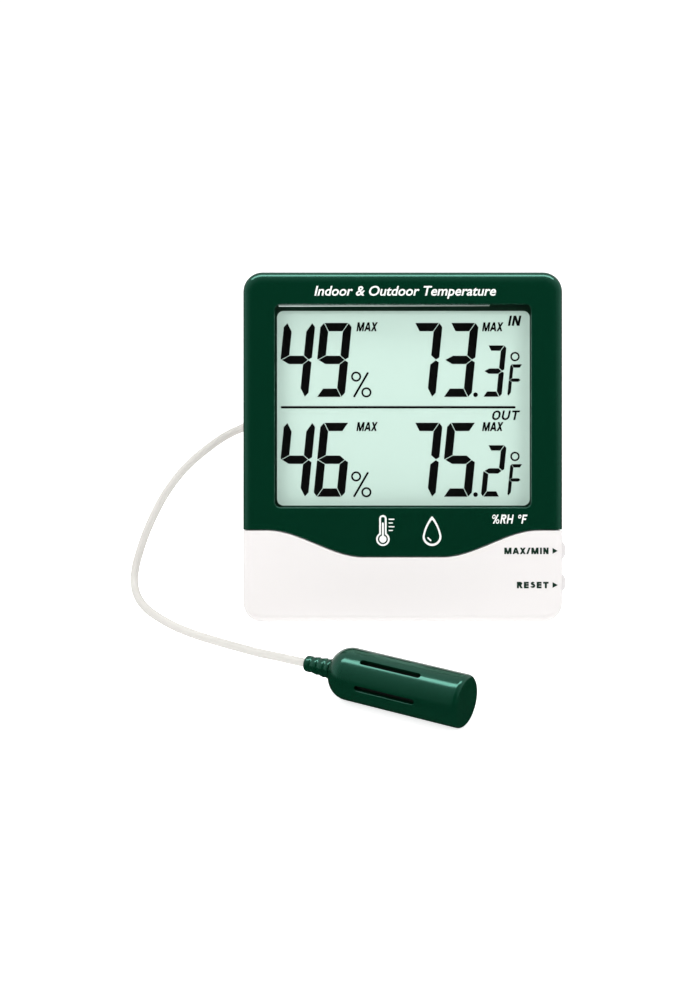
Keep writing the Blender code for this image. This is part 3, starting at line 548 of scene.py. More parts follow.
def flat_shape(name, polygons, surface_depth):
    """The union of polygons in the X-Z plane, as one thin closed sheet on the surface at that depth."""
    points, faces = [], []
    for polygon in polygons:
        pairs = zip(polygon, polygon[1:] + polygon[:1])
        if sum(ax * bz - bx * az for (ax, az), (bx, bz) in pairs) < 0:
            polygon = polygon[::-1]
        faces.append(list(range(len(points), len(points) + len(polygon))))
        points += [Vector(point) for point in polygon]
    flat, _, triangles, _, _, sources = delaunay_2d_cdt(points, [], faces, 1, 0.0005)
    triangles = [triangle for triangle, source in zip(triangles, sources) if source]
    bm = bmesh.new()
    front = surface_depth - SHEET / 2
    verts = [bm.verts.new((x, front, z)) for x, z in flat]
    for triangle in triangles:
        bm.faces.new([verts[index] for index in triangle])
    bmesh.ops.delete(bm, geom=[vert for vert in bm.verts if not vert.link_faces], context="VERTS")
    bmesh.ops.dissolve_limit(bm, angle_limit=0.01, verts=bm.verts, edges=bm.edges)
    # The extrude operator would give the sides in a different order each run
    sides = [tuple(edge.verts) for edge in bm.edges if edge.is_boundary]
    behind = {vert: bm.verts.new(vert.co + Vector((0.0, SHEET, 0.0))) for vert in list(bm.verts)}
    for face in list(bm.faces):
        bm.faces.new([behind[vert] for vert in face.verts])
    for first, second in sides:
        bm.faces.new((first, second, behind[second], behind[first]))
    return mesh_object(name, bm)


def text_mesh(text, weight, slant):
    """Words in the built-in font as a thin mesh that stands upright and faces -Y."""
    curve = bpy.data.curves.new("letters", "FONT")
    curve.body = text
    curve.size = 10.0
    curve.offset = weight
    curve.shear = slant
    curve.resolution_u = 5
    curve.extrude = 0.03
    guide = new_object("letters_guide", curve)
    bpy.context.view_layer.update()
    mesh = bpy.data.meshes.new_from_object(guide.evaluated_get(bpy.context.evaluated_depsgraph_get()))
    bpy.data.objects.remove(guide, do_unlink=True)
    mesh.transform(Matrix.Rotation(math.pi / 2, 4, "X"))
    return mesh


def lettering(name, text, left, right, baseline, cap, depth, weight, slant):
    """Words whose capitals are cap high, fitted between left and right on a surface at depth."""
    sample = text_mesh("H", weight, 0.0)
    heights = [vert.co.z for vert in sample.vertices]
    rise = cap / (max(heights) - min(heights))
    bpy.data.meshes.remove(sample)
    words = text_mesh(text, weight, slant)
    across = [vert.co.x for vert in words.vertices]
    stretch = (right - left) / (max(across) - min(across))
    scale = Matrix.Diagonal((stretch, 1.0, rise, 1.0))
    shift = Matrix.Translation((left - min(across) * stretch, depth, baseline - min(heights) * rise))
    words.transform(shift @ scale)
    return new_object(name, words)


def frame_between(outer, inner):
    """The quads between two outlines that have the same number of points."""
    quads = []
    for index in range(len(outer)):
        after = (index + 1) % len(outer)
        quads.append([outer[index], outer[after], inner[after], inner[index]])
    return quads


# ---- Case shells ----


def wave_line(shift):
    """The wave from left to right, shift higher, with its ends past the case's sides."""
    steps = 28
    side = [WAVE_LEVEL + WAVE_RUN * step / steps for step in range(steps + 1)]
    across = [-PAST_SIDE] + [-x for x in reversed(side)] + [0.0] + side + [PAST_SIDE]
    points = []
    for x in across:
        t = min(max((abs(x) - WAVE_LEVEL) / WAVE_RUN, 0.0), 1.0)
        points.append((x, WAVE_LOW + WAVE_RISE * t * t * (3 - 2 * t) + shift))
    return points


def wave_block(name, above, end, edge, rim):
    """All that is above, or below, the wave, from in front of the face to end, with a rounded front edge."""
    far = HEIGHT + 5.0 if above else -5.0
    side = -1.0 if above else 1.0
    corners = [(PAST_SIDE, far), (-PAST_SIDE, far)]
    profile = [(-1.0, rim)] + [(rim * (1 - math.cos(a)), rim * (1 - math.sin(a))) for a in arc(0, 90, 4)]
    rings = [along_y(wave_line(edge + side * grow) + corners, depth) for depth, grow in profile]
    rings.append(along_y(wave_line(edge) + corners, end))
    return loft(name, rings)


def window_cutter(half_width, half_height, radius, start, end, rim=0.0):
    low = (-half_width, WINDOW_MIDDLE - half_height)
    high = (half_width, WINDOW_MIDDLE + half_height)
    if rim:
        return pocket("window", low, high, radius, end, 0.0, rim)
    return slab("window", rounded(low, high, radius), start, end)


def front_shell(look):
    shell = case_block("case_front_shell", 0.0, SPLIT, round_start=FACE_ROUNDING)
    seat = wave_block("seat", True, 9.3, -GAP / 2, 0.3)
    core = slab("core", case_outline(1.8), 1.8, 14.0)
    cavity = slab("cavity", case_outline(3.4), 3.3, 14.0)
    cut(cavity, box("display_wall", (-42.5, 2.0, 32.7), (42.5, 6.6, 101.2)))
    cut(shell, cut(seat, core), cavity, box("low_cavity", (-46.1, 2.0, 2.0), (46.1, 14.0, 18.0)))
    cut(shell, window_cutter(41.5, 33.25, 2.8, -1.0, 3.3), window_cutter(40.0, 31.75, 2.0, -1.0, 6.0))
    cut(shell, window_cutter(41.05, 32.8, 0.5, 4.4, 14.0))
    for height in BUTTON_HEIGHTS.values():
        cut(shell, button_block("slot", height, 44.0, 51.0, GAP))
    for across, height in SCREWS:
        start = 1.0 if height < 20.0 else 2.4
        join(shell, rod("post", (across, start, height), (across, 12.9, height), 2.5, sides=20))
        cut(shell, rod("hole", (across, start + 3.0, height), (across, 14.0, height), 1.45, sides=16))
    settle(shell, CASE, "case", look["white"], ["front_housing"])


def face_panel(look):
    panel = case_block("face_panel", 0.0, 9.0, round_start=FACE_ROUNDING, steps=12, widen=1.7)
    inside = slab("inside", case_outline(1.5), 1.5, 14.0)
    cut(panel, inside, wave_block("below", False, 14.0, GAP / 2, 0.3))
    cut(panel, window_cutter(*WINDOW, -1.0, 4.0, rim=RIM))
    settle(panel, CASE, "case", look["green"], ["face_bezel"])


def window_pane(look):
    """The lens: a flange behind the coloured front, and a raised field with a bevelled edge in its window."""
    rings = []
    profile = ((2.0, 0.20), (1.55, 0.55), (1.5, 0.65), (1.5, 1.8), (0.0, 1.8), (0.0, 2.8), (0.2, 3.0))
    for inset, depth in profile:
        low = (-41.2 + inset, WINDOW_MIDDLE - 32.95 + inset)
        high = (41.2 - inset, WINDOW_MIDDLE + 32.95 - inset)
        rings.append(along_y(rounded(low, high, 2.6 - 0.6 * inset), depth))
    pane = loft("window_pane", rings)
    settle(pane, CASE, "case", look["clear"], ["display_window"], sharp=20.0)


def window_border(look):
    """The dark border printed on the back of the lens, and a painted highlight: a pale, faintly glowing strip
    behind the lens's top edge that stands in for the glint of light on its bevel.
    """
    outer = rounded((-40.9, WINDOW_MIDDLE - 32.6), (40.9, WINDOW_MIDDLE + 32.6), 2.4)
    inner = rounded((-39.05, 36.1), (39.5, 96.6), 2.0)
    border = flat_shape("window_border", frame_between(outer, inner), 3.13)
    settle(border, CASE, "case", look["green_print"])
    # painted highlight: a thin pale strip behind the lens's top edge, tapering to the right like a fading
    # glint
    edge = [(-38.5, 98.25), (-38.5, 97.92), (27.0, 98.15), (27.0, 98.25)]
    settle(flat_shape("window_painted_glint_strip", [edge], 3.05), CASE, "case", look["painted_glint"])


def back_shell(look):
    shell = case_block("case_back_shell", SPLIT + GAP, DEPTH, round_end=BACK_ROUNDING)
    cut(shell, slab("inside", case_outline(2.0, bottom=3.6), 12.0, 18.0))
    join(shell, box("stand_block", (-24.5, 15.0, 3.0), (24.5, 18.5, 64.3)))
    join(shell, box("cell_block", (-27.7, 6.9, 68.7), (27.7, 18.5, 82.3)))
    join(shell, box("keyhole_block", (-6.5, 15.4, 87.6), (6.5, 18.5, 102.5)))
    channel = box("channel_block", (-14.8, -3.7, -3.9), (-2.5, 0.8, 3.9))
    channel.data.transform(edge_to_case())
    join(shell, channel)
    cut(shell, pocket("stand_recess", (-20.0, 3.8), (20.0, 62.0), 1.0, 16.6))
    cut(shell, pocket("door_seat", (-29.0, 67.4), (29.0, 83.6), 0.6, 18.55, flare=0.2))
    cut(shell, slab("cell_room", rounded((-26.5, 69.9), (26.5, 81.1), 0.8), 7.8, 21.0))
    cut(shell, pocket("latch_scoop", (-7.0, 83.0), (7.0, 87.4), 1.5, 18.9, flare=0.4))
    cut(shell, pocket("keyhole_mouth", (-3.6, 88.4), (3.6, 95.6), 3.59, 16.9, flare=0.3))
    cut(shell, pocket("keyhole_slot", (-1.75, 90.0), (1.75, 98.75), 1.74, 16.95, flare=0.3))
    cut(shell, slab("keyhole_undercut", rounded((-3.5, 90.0), (3.5, 100.4), 3.45), 16.92, 18.3))
    lead_cuts(shell)
    for side in (-1, 1):
        cut(shell, rod("pin_hole", (side * 19.0, *PIVOT), (side * 21.9, *PIVOT), 1.25, sides=20))
        low, high = sorted((side * 26.0, side * 28.5))
        cut(shell, box("tail_slot", (low, 8.6, 70.3), (high, 9.8, 72.9)))
    cut(shell, rod("finger_notch", (20.0, 21.2, 14.0), (20.0, 17.4, 14.0), 6.0, 2.5))
    for index in range(4):
        height = 40.0 + 4.0 * index
        cut(shell, pocket("vent", (-44.0, height - 0.8), (-30.0, height + 0.8), 0.79, 17.0))
    cut(shell, pocket("switch_way", (29.4, 42.7), (34.6, 45.3), 0.5, 17.0))
    for across, height in SCREWS:
        join(shell, rod("pillar", (across, 13.5, height), (across, 18.5, height), 3.0, sides=24))
        cut(shell, rod("way", (across, 12.0, height), (across, 17.0, height), 1.5, sides=20))
        cut(shell, pocket("sink", (across - 2.3, height - 2.3), (across + 2.3, height + 2.3), 2.29, 16.0))
    foot = box("foot_plane", (-60.0, -1.0, -12.0), (60.0, 20.0, 0.0))
    level = Matrix.Rotation(math.radians(CASE_LEAN), 4, "X")
    foot.data.transform(Matrix.Translation((0.0, SPLIT + GAP, 0.0)) @ level)
    cut(shell, foot)
    settle(shell, CASE, "case", look["white"], ["rear_cover"])


def edge_to_case():
    """From the lead channel's frame, at the case's left edge, to the case frame, in millimetres."""
    return Matrix.Translation((-HALF_WIDTH, 17.7, 61.4)) @ EDGE_TURN


def lead_cuts(shell):
    for low, high in (((-9.4, -1.65, -2.2), (6.0, 4.0, 2.2)), ((-13.2, -2.4, -2.6), (-9.2, 4.0, 2.6))):
        tool = box("channel", low, high)
        tool.data.transform(edge_to_case())
        cut(shell, tool)


# ---- Buttons, switch, door and stand ----


def button_outline(height, grow=0.0):
    half, rise = BUTTON_HALF
    low = (BUTTON_DEPTH - half - grow, height - rise - grow)
    return rounded(low, (BUTTON_DEPTH + half + grow, height + rise + grow), 2.0 + grow, 8)


def button_block(name, height, start, end, grow):
    outline = button_outline(height, grow)
    return loft(name, [[(x, y, z) for y, z in outline] for x in (start, end)])


def key_cap(name, node, height, body, look):
    """A soft button: a low dome with sloping ends, and a retaining foot behind the wall."""
    outline = button_outline(height)
    rings = [[(45.5, y, z) for y, z in outline], [(49.2, y, z) for y, z in outline]]
    for step in range(1, 15):
        t = step / 14
        shrink = 1 - 0.80 * t**1.15
        rise = 49.25 + 1.85 * math.sin(t * math.pi / 2) ** 0.95
        ring = []
        for y, z in outline:
            depth = BUTTON_DEPTH + (y - BUTTON_DEPTH) * (1 - 0.75 * t**1.6)
            ring.append((rise, depth, height + (z - height) * shrink))
        rings.append(ring)
    cap = loft(name, rings)
    join(cap, box("foot", (44.5, 4.9, height - 3.9), (45.8, 9.1, height + 3.9)))
    settle(cap, CASE, body, look["button"], [node], sharp=50.0)


def switch_knob(look):
    knob = box("units_switch_cap", (30.0, 13.4, 43.0), (32.0, 18.9, 45.0))
    for index in range(3):
        across = 30.3 + 0.6 * index
        join(knob, box("rib", (across, 18.5, 43.05), (across + 0.3, 19.5, 44.95)))
    settle(knob, CASE, "units_knob", look["knob"], ["unit_switch_knob"])


def battery_hatch(look):
    """The battery door, with grip ribs by its latch and softened edges."""
    rings = []
    for inset, depth in ((0.0, -1.15), (0.0, -0.35), (0.1, -0.12), (0.35, 0.0)):
        outline = rounded((-28.7 + inset, inset), (28.7 - inset, 15.6 - inset), 0.8 + inset * 0.5)
        rings.append(along_y(outline, depth))
    hatch = loft("battery_hatch", rings)
    join(hatch, slab("latch", rounded((-5.0, 14.5), (5.0, 17.2), 0.9), -0.8, -0.02))
    for index in range(6):
        height = 8.6 + 0.95 * index
        half = 6.5 - 0.5 * index
        cut(hatch, pocket("grip", (-half, height), (half, height + 0.4), 0.19, -0.35, 0.0, 0.08, 2))
    settle(hatch, DOOR, "door", look["white"], ["battery_door"])


def stand_leg(look):
    """The folding leg: rounded edges, a shallow panel in its back and a ribbed foot."""
    half = LEG_HALF
    lean = math.radians(10.0)
    case_lean = math.radians(CASE_LEAN)
    pivot = 4.548868 - PIVOT[0] * math.sin(case_lean) + PIVOT[1] * math.cos(case_lean)

    def foot(offset):
        """Where the leg meets the ground, offset behind its middle."""
        return -(pivot + offset * math.sin(lean)) / math.cos(lean)

    soft = 0.35
    profile = [(-half, 0.0), (-half, foot(-half) + soft), (-half + soft, foot(-half + soft))]
    profile += [(half - soft, foot(half - soft)), (half, foot(half) + soft), (half, 2.6), (half - 0.2, 2.8)]
    profile += [(0.1, 2.8), (0.1, 0.0)]
    rings = []
    for across, inset in ((-18.0, 0.3), (-17.7, 0.0), (17.7, 0.0), (18.0, 0.3)):
        ring = []
        for y, z in profile:
            inward = 1 - inset / half if inset else 1.0
            lift = inset if z < -40 else -inset if z > 2 else 0.0
            ring.append((across, 0.05 + (y - 0.05) * inward, z + lift))
        rings.append(ring)
    leg = loft("stand_leg", rings)
    cut(leg, pocket("panel", (-14.0, -44.0), (14.0, -7.0), 2.0, 0.6, half, 0.25))
    for index in range(4):
        height = -46.8 - 1.5 * index
        cut(leg, pocket("grip", (-14.0, height), (14.0, height + 0.6), 0.29, 0.75, half, 0.12, 2))
    join(leg, rod("barrel", (-19.6, 0, 0), (19.6, 0, 0), 1.2), rod("pin", (-21.5, 0, 0), (21.5, 0, 0), 0.95))
    settle(leg, STAND, "stand", look["white"], ["tilt_stand"])


# ---- Lead and probe ----


def smooth_route(route, spacing):
    """Points at an even spacing on a Catmull-Rom curve through the route."""
    route = np.array(route, dtype=float)
    ends = np.vstack((2 * route[0] - route[1], route, 2 * route[-1] - route[-2]))
    fine = []
    for a, b, c, d in zip(ends, ends[1:], ends[2:], ends[3:]):
        for t in np.linspace(0.0, 1.0, 24, endpoint=False):
            bend, twist = 2 * a - 5 * b + 4 * c - d, 3 * b - a - 3 * c + d
            fine.append(0.5 * (2 * b + (c - a) * t + bend * t**2 + twist * t**3))
    fine = np.array(fine + [route[-1]])
    along = np.concatenate(([0.0], np.cumsum(np.linalg.norm(np.diff(fine, axis=0), axis=1))))
    count = max(2, round(along[-1] / spacing))
    stops = np.linspace(0.0, along[-1], count + 1)
    return np.column_stack([np.interp(stops, along, fine[:, axis]) for axis in range(3)])


def tube_rings(points, radius, sides):
    """Rings square to a path, turned as little as possible from one to the next."""
    points = [Vector(point) for point in points]
    runs = [(b - a).normalized() for a, b in zip(points[:1] + points[:-1], points[1:] + points[-1:])]
    runs[0] = (points[1] - points[0]).normalized()
    across = runs[0].orthogonal().normalized()
    rings = []
    for point, run in zip(points, runs):
        across = (across - across.dot(run) * run).normalized()
        rings.append(hoop(point, across, run.cross(across), radius, sides))
    return rings


def lead(look):
    points = smooth_route(LEAD_ROUTE, 1.2)
    obj = loft("probe_lead", tube_rings(points, LEAD_RADIUS, 24))
    settle(obj, Matrix.Identity(4), "case", look["jacket"], ["probe_cable"], sharp=50.0)


def grommet(look):
    """The clamp block at the lead's exit, with a tapered and ribbed nozzle."""
    block = slab("lead_grommet", rounded((-12.9, -2.3), (-9.6, 2.3), 0.4), -2.1, 1.9)
    profile = [(-10.0, 0.0), (-10.0, 1.4)]
    for rib in range(3):
        along = -9.3 + 0.9 * rib
        profile += [(along, 1.42), (along + 0.15, 1.3), (along + 0.45, 1.3), (along + 0.6, 1.4)]
    profile += [(-6.75, 1.32), (-6.7, 1.25), (-6.7, 0.0)]
    join(block, turned("nozzle", profile, 28))
    settle(block, LEAD_EDGE, "case", look["jacket"], ["cable_grommet"])


def sensor_tube(look):
    """The probe's shell: a domed shoulder, four long slots with softened edges, and a closed far end."""
    outside = [(0.0, 0.0), (0.0, 2.6)] + around((6.0, 1.65), 6.0, 160, 90, 14) + [(20.0, 7.65), (39.9, 7.65)]
    outside += around((41.3, 6.25), 1.4, 90, 0, 10)[1:] + [(42.7, 0.0)]
    inside = [(1.5, 0.0), (1.5, 2.6)] + around((6.0, 1.65), 4.5, 160, 90, 8) + [(37.9, 6.15), (37.9, 0.0)]
    tube = cut(turned("probe_tube", outside), turned("hollow", inside))
    cut(tube, rod("lead_way", (-1.0, 0.0, 0.0), (3.0, 0.0, 0.0), 2.6, sides=72))
    for turn in (0.0, 60.0, 180.0, 240.0):
        tool = pocket("slot", (11.0, -0.75), (30.0, 0.75), 0.74, 4.5, 7.65, 0.22)
        tool.data.transform(Matrix.Rotation(math.radians(180.0 - turn), 4, "X"))
        cut(tube, tool)
    replaced = ["probe_shell", "probe_end_cap"]
    settle(tube, PROBE, "case", look["green"], replaced, sharp=45.0)


def sensor_filter(look):
    """A sleeve of fine dark cloth behind the slots."""
    inside = [(8.5, 5.95), (34.5, 5.95), (34.5, 5.8), (8.5, 5.8)]
    settle(turned("probe_filter", inside), PROBE, "case", look["mesh"])


def sensor_boot(look):
    profile = [(-8.9, 0.0), (-8.9, 1.7)] + around((-8.4, 1.85), 0.5, 180, 90, 5)
    for rib in range(3):
        along = -7.3 + 2.4 * rib
        wide = 2.4 + 0.22 * rib
        profile += [(along, wide), (along + 0.2, wide - 0.04), (along + 0.45, wide - 0.15)]
        profile += [(along + 0.85, wide - 0.15), (along + 1.1, wide - 0.04), (along + 1.3, wide)]
    profile += [(-0.55, 3.0), (-0.3, 2.9), (-0.3, 2.3), (2.6, 2.3), (2.6, 0.0)]
    boot = turned("probe_lead_boot", profile, 48)
    settle(boot, PROBE, "case", look["green"], ["probe_boot"])


# ---- Display contents ----


SEGMENTS = {
    "2": "abged",
    "3": "abgcd",
    "4": "fgbc",
    "5": "afgcd",
    "6": "afgecd",
    "7": "abc",
    "9": "abcdfg",
    "F": "aefg",
}


def segment_shapes(w, h, t):
    """Seven mitred bars in a cell w wide and h high, t thick, before they are drawn in for the gaps."""
    m, q, n, half = h / 2, 0.40 * t, 0.12 * t, 0.5 * t
    right = w - q
    above, below = m + half, m - half
    return {
        "a": [(q, h), (right, h), (w - t, h - t), (t, h - t)],
        "b": [(right, h), (w, h - half), (w, m + 0.25 * t), (right, m), (w - t, above), (w - t, h - t)],
        "c": [(right, 0), (w, half), (w, m - 0.25 * t), (right, m), (w - t, below), (w - t, t)],
        "d": [(q, 0), (right, 0), (w - t, t), (t, t)],
        "e": [(q, 0), (0, half), (0, m - 0.1 * t), (n, m), (t, below), (t, t)],
        "f": [(q, h), (0, h - half), (0, m + 0.1 * t), (n, m), (t, above), (t, h - t)],
        "g": [(n, m), (t, above), (w - t, above), (right, m), (w - t, below), (t, below)],
    }


def drawn_in(points, distance):
    """A convex outline with each side moved inwards."""
    area = sum(a[0] * b[1] - b[0] * a[1] for a, b in zip(points, points[1:] + points[:1]))
    side = 1.0 if area > 0 else -1.0
    lines = []
    for (ax, ay), (bx, by) in zip(points, points[1:] + points[:1]):
        length = math.hypot(bx - ax, by - ay)
        nx, ny = -side * (by - ay) / length, side * (bx - ax) / length
        lines.append((nx, ny, nx * (ax + nx * distance) + ny * (ay + ny * distance)))
    result = []
    for (a, b, c), (d, e, f) in zip(lines[-1:] + lines[:-1], lines):
        det = a * e - b * d
        result.append(((c * e - b * f) / det, (a * f - c * d) / det))
    return result


def digit(character, left, base, width, height, thick, gap=0.22):
    """Outlines of one leaning character, whose lower left corner is (left, base)."""
    shapes = segment_shapes(width, height, thick)
    loops = []
    for segment in SEGMENTS[character]:
        outline = drawn_in(shapes[segment], gap / 2)
        loops.append([(left + x + 0.1 * z, base + z) for x, z in outline])
    return loops


def circle(centre, radius, steps=28):
    return [(centre[0] + radius * math.cos(t), centre[1] + radius * math.sin(t)) for t in full_turn(steps)]


def band(centre, radius, width, start=0.0, end=360.0, steps=28):
    """A ring, or part of one, as a row of quads."""
    outer, inner = (around(centre, size, start, end, steps) for size in (radius, radius - width))
    return [[outer[i], outer[i + 1], inner[i + 1], inner[i]] for i in range(steps)]


def stroke(start, end, width, steps=8):
    """A straight line with round ends."""
    angle = math.degrees(math.atan2(end[1] - start[1], end[0] - start[0]))
    cap = around(end, width / 2, angle - 90, angle + 90, steps)
    return cap + around(start, width / 2, angle + 90, angle + 270, steps)


def block_capitals(s):
    """Capitals 1 high, as (width, strokes of width s and polygons). Strokes are cut off at 0 and 1."""
    h = s / 2
    tilted = ((h * 0.9, 1.05), (0.8 - h * 0.9, -0.05))
    roof = [((h - 0.1, -0.1), (0.43, 1.05)), ((0.96 - h, -0.1), (0.43, 1.05))]
    bowl = band((0.46, 0.735), 0.265, s, -90, 90, 10)
    bars = [((0.0, 1 - h), (0.46, 1 - h)), ((0.0, 0.47 + h), (0.46, 0.47 + h))]
    upper = band((0.34, 0.735), 0.265, s, 20, 270, 16)
    lower = band((0.34, 0.265 + s / 2 - 0.01), 0.265 + s / 4, s, -160, 90, 16)
    halves = band((0.4, 0.6), 0.4, s, 0, 180, 16) + band((0.4, 0.4), 0.4, s, 180, 360, 16)
    rings = band((0.22, 0.76), 0.24, s * 0.6, 0, 360, 16) + band((0.84, 0.24), 0.24, s * 0.6, 0, 360, 16)

    def posts(width, low=0, high=1):
        return [((h, low), (h, high)), ((width - h, low), (width - h, high))]

    return {
        "M": (1.1, posts(1.1) + [((h * 1.2, 1.1), (0.55, 0.0)), ((1.1 - h * 1.2, 1.1), (0.55, 0.0))]),
        "A": (0.86, roof + [((0.2, 0.3), (0.66, 0.3))]),
        "X": (0.82, [((h - 0.08, -0.1), (0.9 - h, 1.1)), ((0.9 - h, -0.1), (h - 0.08, 1.1))]),
        "N": (0.8, posts(0.8) + [tilted]),
        "I": (s, [((h, 0), (h, 1))]),
        "/": (0.45, [((0.0, -0.12), (0.45, 1.12))]),
        "E": (0.66, [((h, 0), (h, 1))] + [((0.0, z), (0.66, z)) for z in (h, 0.52, 1 - h)]),
        "T": (0.74, [((0.37, 0), (0.37, 1)), ((0.0, 1 - h), (0.74, 1 - h))]),
        "H": (0.8, posts(0.8) + [((0.0, 0.5), (0.8, 0.5))]),
        "R": (0.74, [((h, 0), (h, 1)), *bars, *bowl, ((0.40, 0.52), (0.68, -0.08))]),
        "S": (0.66, upper + lower),
        "O": (0.8, halves + posts(0.8, 0.3, 0.7)),
        "U": (0.78, band((0.39, 0.39), 0.39, s, 180, 360, 16) + posts(0.78, 0.38, 1)),
        "F": (0.64, [((h, 0), (h, 1)), ((0.0, 1 - h), (0.64, 1 - h)), ((0.0, 0.5), (0.56, 0.5))]),
        "%": (1.08, [((0.28, -0.1), (0.78, 1.1)), *rings]),
        "°": (0.44, band((0.22, 0.78), 0.22, s * 0.6, 0, 360, 16)),
        " ": (0.34, []),
    }


def clipped(polygon, low, high):
    """A convex outline cut off below low and above high."""
    for limit, side in ((low, 1.0), (high, -1.0)):
        kept = []
        for (ax, az), (bx, bz) in zip(polygon[-1:] + polygon[:-1], polygon):
            a_in, b_in = side * (az - limit) >= 0, side * (bz - limit) >= 0
            if a_in != b_in:
                t = (limit - az) / (bz - az)
                kept.append((ax + (bx - ax) * t, limit))
            if b_in:
                kept.append((bx, bz))
        polygon = kept
    return polygon


def block_words(name, text, left, right, base, cap, depth, weight, slant=0.0, space=0.16):
    """Bold block capitals, cap high, fitted between left and right."""
    capitals = block_capitals(weight)
    pen, shapes = 0.0, []
    for character in text:
        width, strokes = capitals[character]
        for item in strokes:
            if len(item) == 2:
                (ax, az), (bx, bz) = item
                length = math.hypot(bx - ax, bz - az)
                nx, nz = -(bz - az) / length * weight / 2, (bx - ax) / length * weight / 2
                item = [(ax + nx, az + nz), (ax - nx, az - nz), (bx - nx, bz - nz), (bx + nx, bz + nz)]
            item = clipped(list(item), 0.0, 1.0)
            if len(item) > 2:
                shapes.append([(pen + x + slant * z, z) for x, z in item])
        pen += width + space
    low = min(x for shape in shapes for x, _ in shape)
    high = max(x for shape in shapes for x, _ in shape)
    stretch = (right - left) / (high - low)
    placed = [[(left + (x - low) * stretch, base + z * cap) for x, z in shape] for shape in shapes]
    return flat_shape(name, placed, depth)


def readings(look):
    rows = ((69.85, "49", "73", "3"), (38.73, "46", "75", "2"))
    for row, (base, humidity, degrees, tenths) in enumerate(rows, start=1):
        loops = []
        for character, left in zip(humidity + degrees, (-39.3, -27.9, 0.38, 11.62)):
            loops += digit(character, left, base, 9.95, 23.27, 2.8)
        loops += digit(tenths, 24.3, base + 0.05, 6.65, 16.2, 1.85)
        loops += digit("F", 32.6, base + 0.4, 4.2, 9.9, 1.12, gap=0.10)
        loops.append(circle((22.77, base + 0.78), 0.72))
        loops += band((35.06, base + 12.67), 1.46, 0.50)
        loops += band((-14.46, base + 6.43), 1.58, 0.56) + band((-11.26, base + 1.51), 1.58, 0.56)
        loops.append(stroke((-15.03, base + 0.3), (-10.86, base + 7.5), 0.63))
        inked(flat_shape("lcd_reading_%d" % row, loops, INK_DEPTH), look)
        for name, left in (("humidity", -14.37), ("degrees", 24.81)):
            label = "lcd_max_%s_%d" % (name, row)
            words = block_words(label, "MAX", left, left + 6.67, base + 20.57, 2.79, INK_DEPTH, 0.24, 0.2)
            inked(words, look)
    inked(block_words("lcd_in", "IN", 32.84, 37.07, 92.12, 3.17, INK_DEPTH, 0.23, 0.2), look)
    inked(block_words("lcd_out", "OUT", 27.88, 36.63, 62.73, 2.98, INK_DEPTH, 0.19, 0.2), look)
    line = stroke((-37.6, 66.72), (34.9, 66.72), 0.70)
    inked(flat_shape("lcd_divider", [line], INK_DEPTH), look)


def inked(obj, look):
    settle(obj, CASE, "case", look["ink"], sharp=30.0)


# ---- Printing ----


def printed(obj, material):
    settle(obj, CASE, "case", material, sharp=30.0)


def printing(look):
    title = "Indoor & Outdoor Temperature"
    printed(lettering("print_title", title, -27.4, 28.8, 101.0, 3.0, 0.0, 0.16, 0.22), look["white_print"])
    printed(block_words("print_units", "%RH °F", 27.6, 38.5, 30.5, 2.8, 0.0, 0.19, 0.22), look["white_print"])
    for name, text, left, height in (("max_min", "MAX/MIN", 31.34, 22.08), ("reset", "RESET", 35.23, 11.51)):
        label = block_words("print_" + name, text, left, 45.02, height - 1.0, 2.0, 0.0, 0.28, space=0.22)
        printed(label, look["green_print"])
        arrow = [(46.25, height - 0.9), (47.85, height), (46.25, height + 0.9)]
        printed(flat_shape("print_arrow_" + name, [arrow], 0.0), look["green_print"])
    printed(flat_shape("print_pictograms", pictograms(), 0.0), look["white_print"])


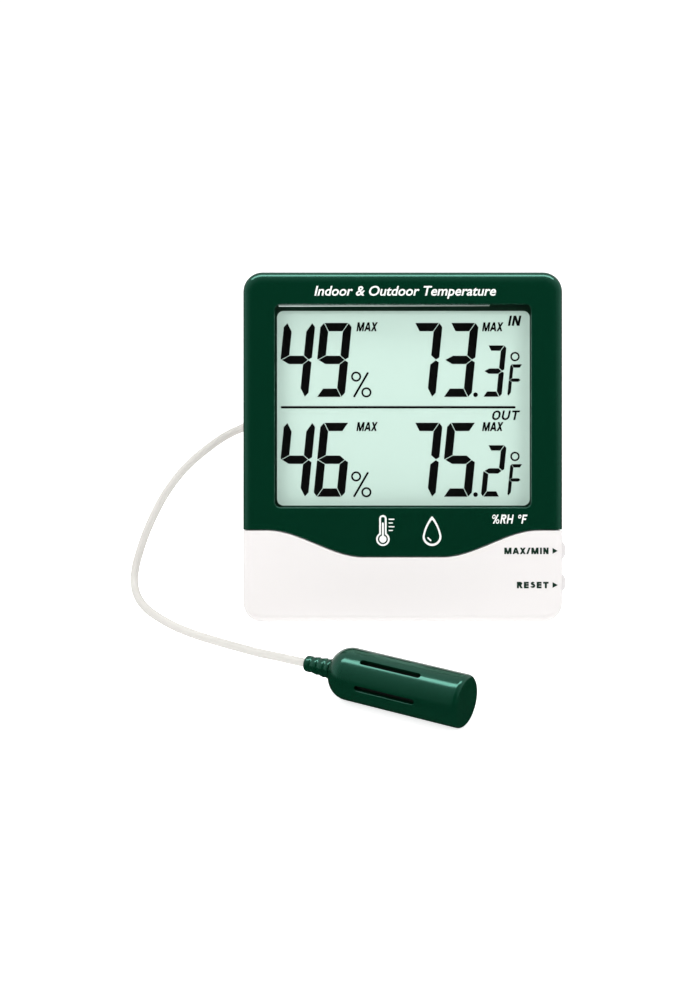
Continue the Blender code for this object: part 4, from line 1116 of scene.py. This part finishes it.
def pictograms():
    """A plain thermometer and a plain drop of water."""
    x, z, line = -6.2, 25.7, 0.55
    tilt = math.degrees(math.asin(0.87 / 1.85))
    shapes = band((x, 32.0), 1.15, line, 0, 180, 12) + band((x, z), 2.1, line, 90 + tilt, 450 - tilt, 30)
    shapes += [stroke((x + side * 0.87, 27.3), (x + side * 0.87, 32.0), line, 4) for side in (-1, 1)]
    shapes += [circle((x, z), 1.1, 24), stroke((x, z), (x, 30.6), 0.56, 4)]
    for index in range(4):
        height = 28.4 + 1.15 * index
        reach = 1.5 if index % 2 else 1.0
        shapes.append(stroke((x + 1.95, height), (x + 1.95 + reach, height), 0.36, 4))
    shapes += frame_between(drop_outline(23.6, 2.9, 9.2), drop_outline(24.3, 2.3, 7.4))
    shapes.append(stroke((7.75, 26.1), (8.6, 25.3), 0.45, 6))
    return shapes


def drop_outline(base, radius, height):
    """A drop that stands on (9, base): round below, and drawn out to a point at height above it."""
    points = []
    for turn in full_turn(36):
        rise = radius * (1 - math.cos(turn))
        across = radius * math.sin(turn)
        if rise > radius:
            t = (rise - radius) / radius
            rise = radius + (height - radius) * t
            across *= (1 - t) ** 0.35
        points.append((9.0 + across, base + rise))
    return points


# ---- CAD nodes that stay as they are ----


BATTERY_METAL = ("battery_positive_plate", "battery_negative_plate", "battery_spring")
BOARD_METAL = ("pcb_screw_1", "pcb_screw_2", "pcb_screw_3", "clock_crystal", "unit_switch_body")
CASE_SCREWS = ("case_screw_1", "case_screw_2", "case_screw_3", "case_screw_4")
KEPT = {
    "lcd": ("lcd_panel",),
    "rubber": ("zebra_connector",),
    "board": ("main_pcb", "probe_pcb"),
    "chip": ("controller_chip", "tact_switch_max_min", "tact_switch_reset"),
    "steel": CASE_SCREWS + BOARD_METAL + BATTERY_METAL,
    "sensor": (
        "indoor_humidity_sensor",
        "probe_humidity_sensor",
        "switch_plunger_max_min",
        "switch_plunger_reset",
    ),
    "bead": ("indoor_thermistor", "probe_thermistor"),
    "battery": ("battery_cell",),
    "red": ("battery_wire_positive",),
    "black": ("battery_wire_negative",),
}


def dress_kept_nodes(look):
    for finish, names in KEPT.items():
        for name in names:
            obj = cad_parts[name]
            for slot in obj.material_slots:
                slot.link = "OBJECT"
                slot.material = look[finish]


def build():
    camera()
    look = make_materials()
    lead(look)
    studio()
    front_shell(look)
    face_panel(look)
    window_pane(look)
    window_border(look)
    back_shell(look)
    key_cap("key_cap_max_min", "max_min_button", BUTTON_HEIGHTS["max_min"], "max_min_key", look)
    key_cap("key_cap_reset", "reset_button", BUTTON_HEIGHTS["reset"], "reset_key", look)
    switch_knob(look)
    battery_hatch(look)
    stand_leg(look)
    grommet(look)
    sensor_tube(look)
    sensor_filter(look)
    sensor_boot(look)
    readings(look)
    printing(look)
    dress_kept_nodes(look)


build()
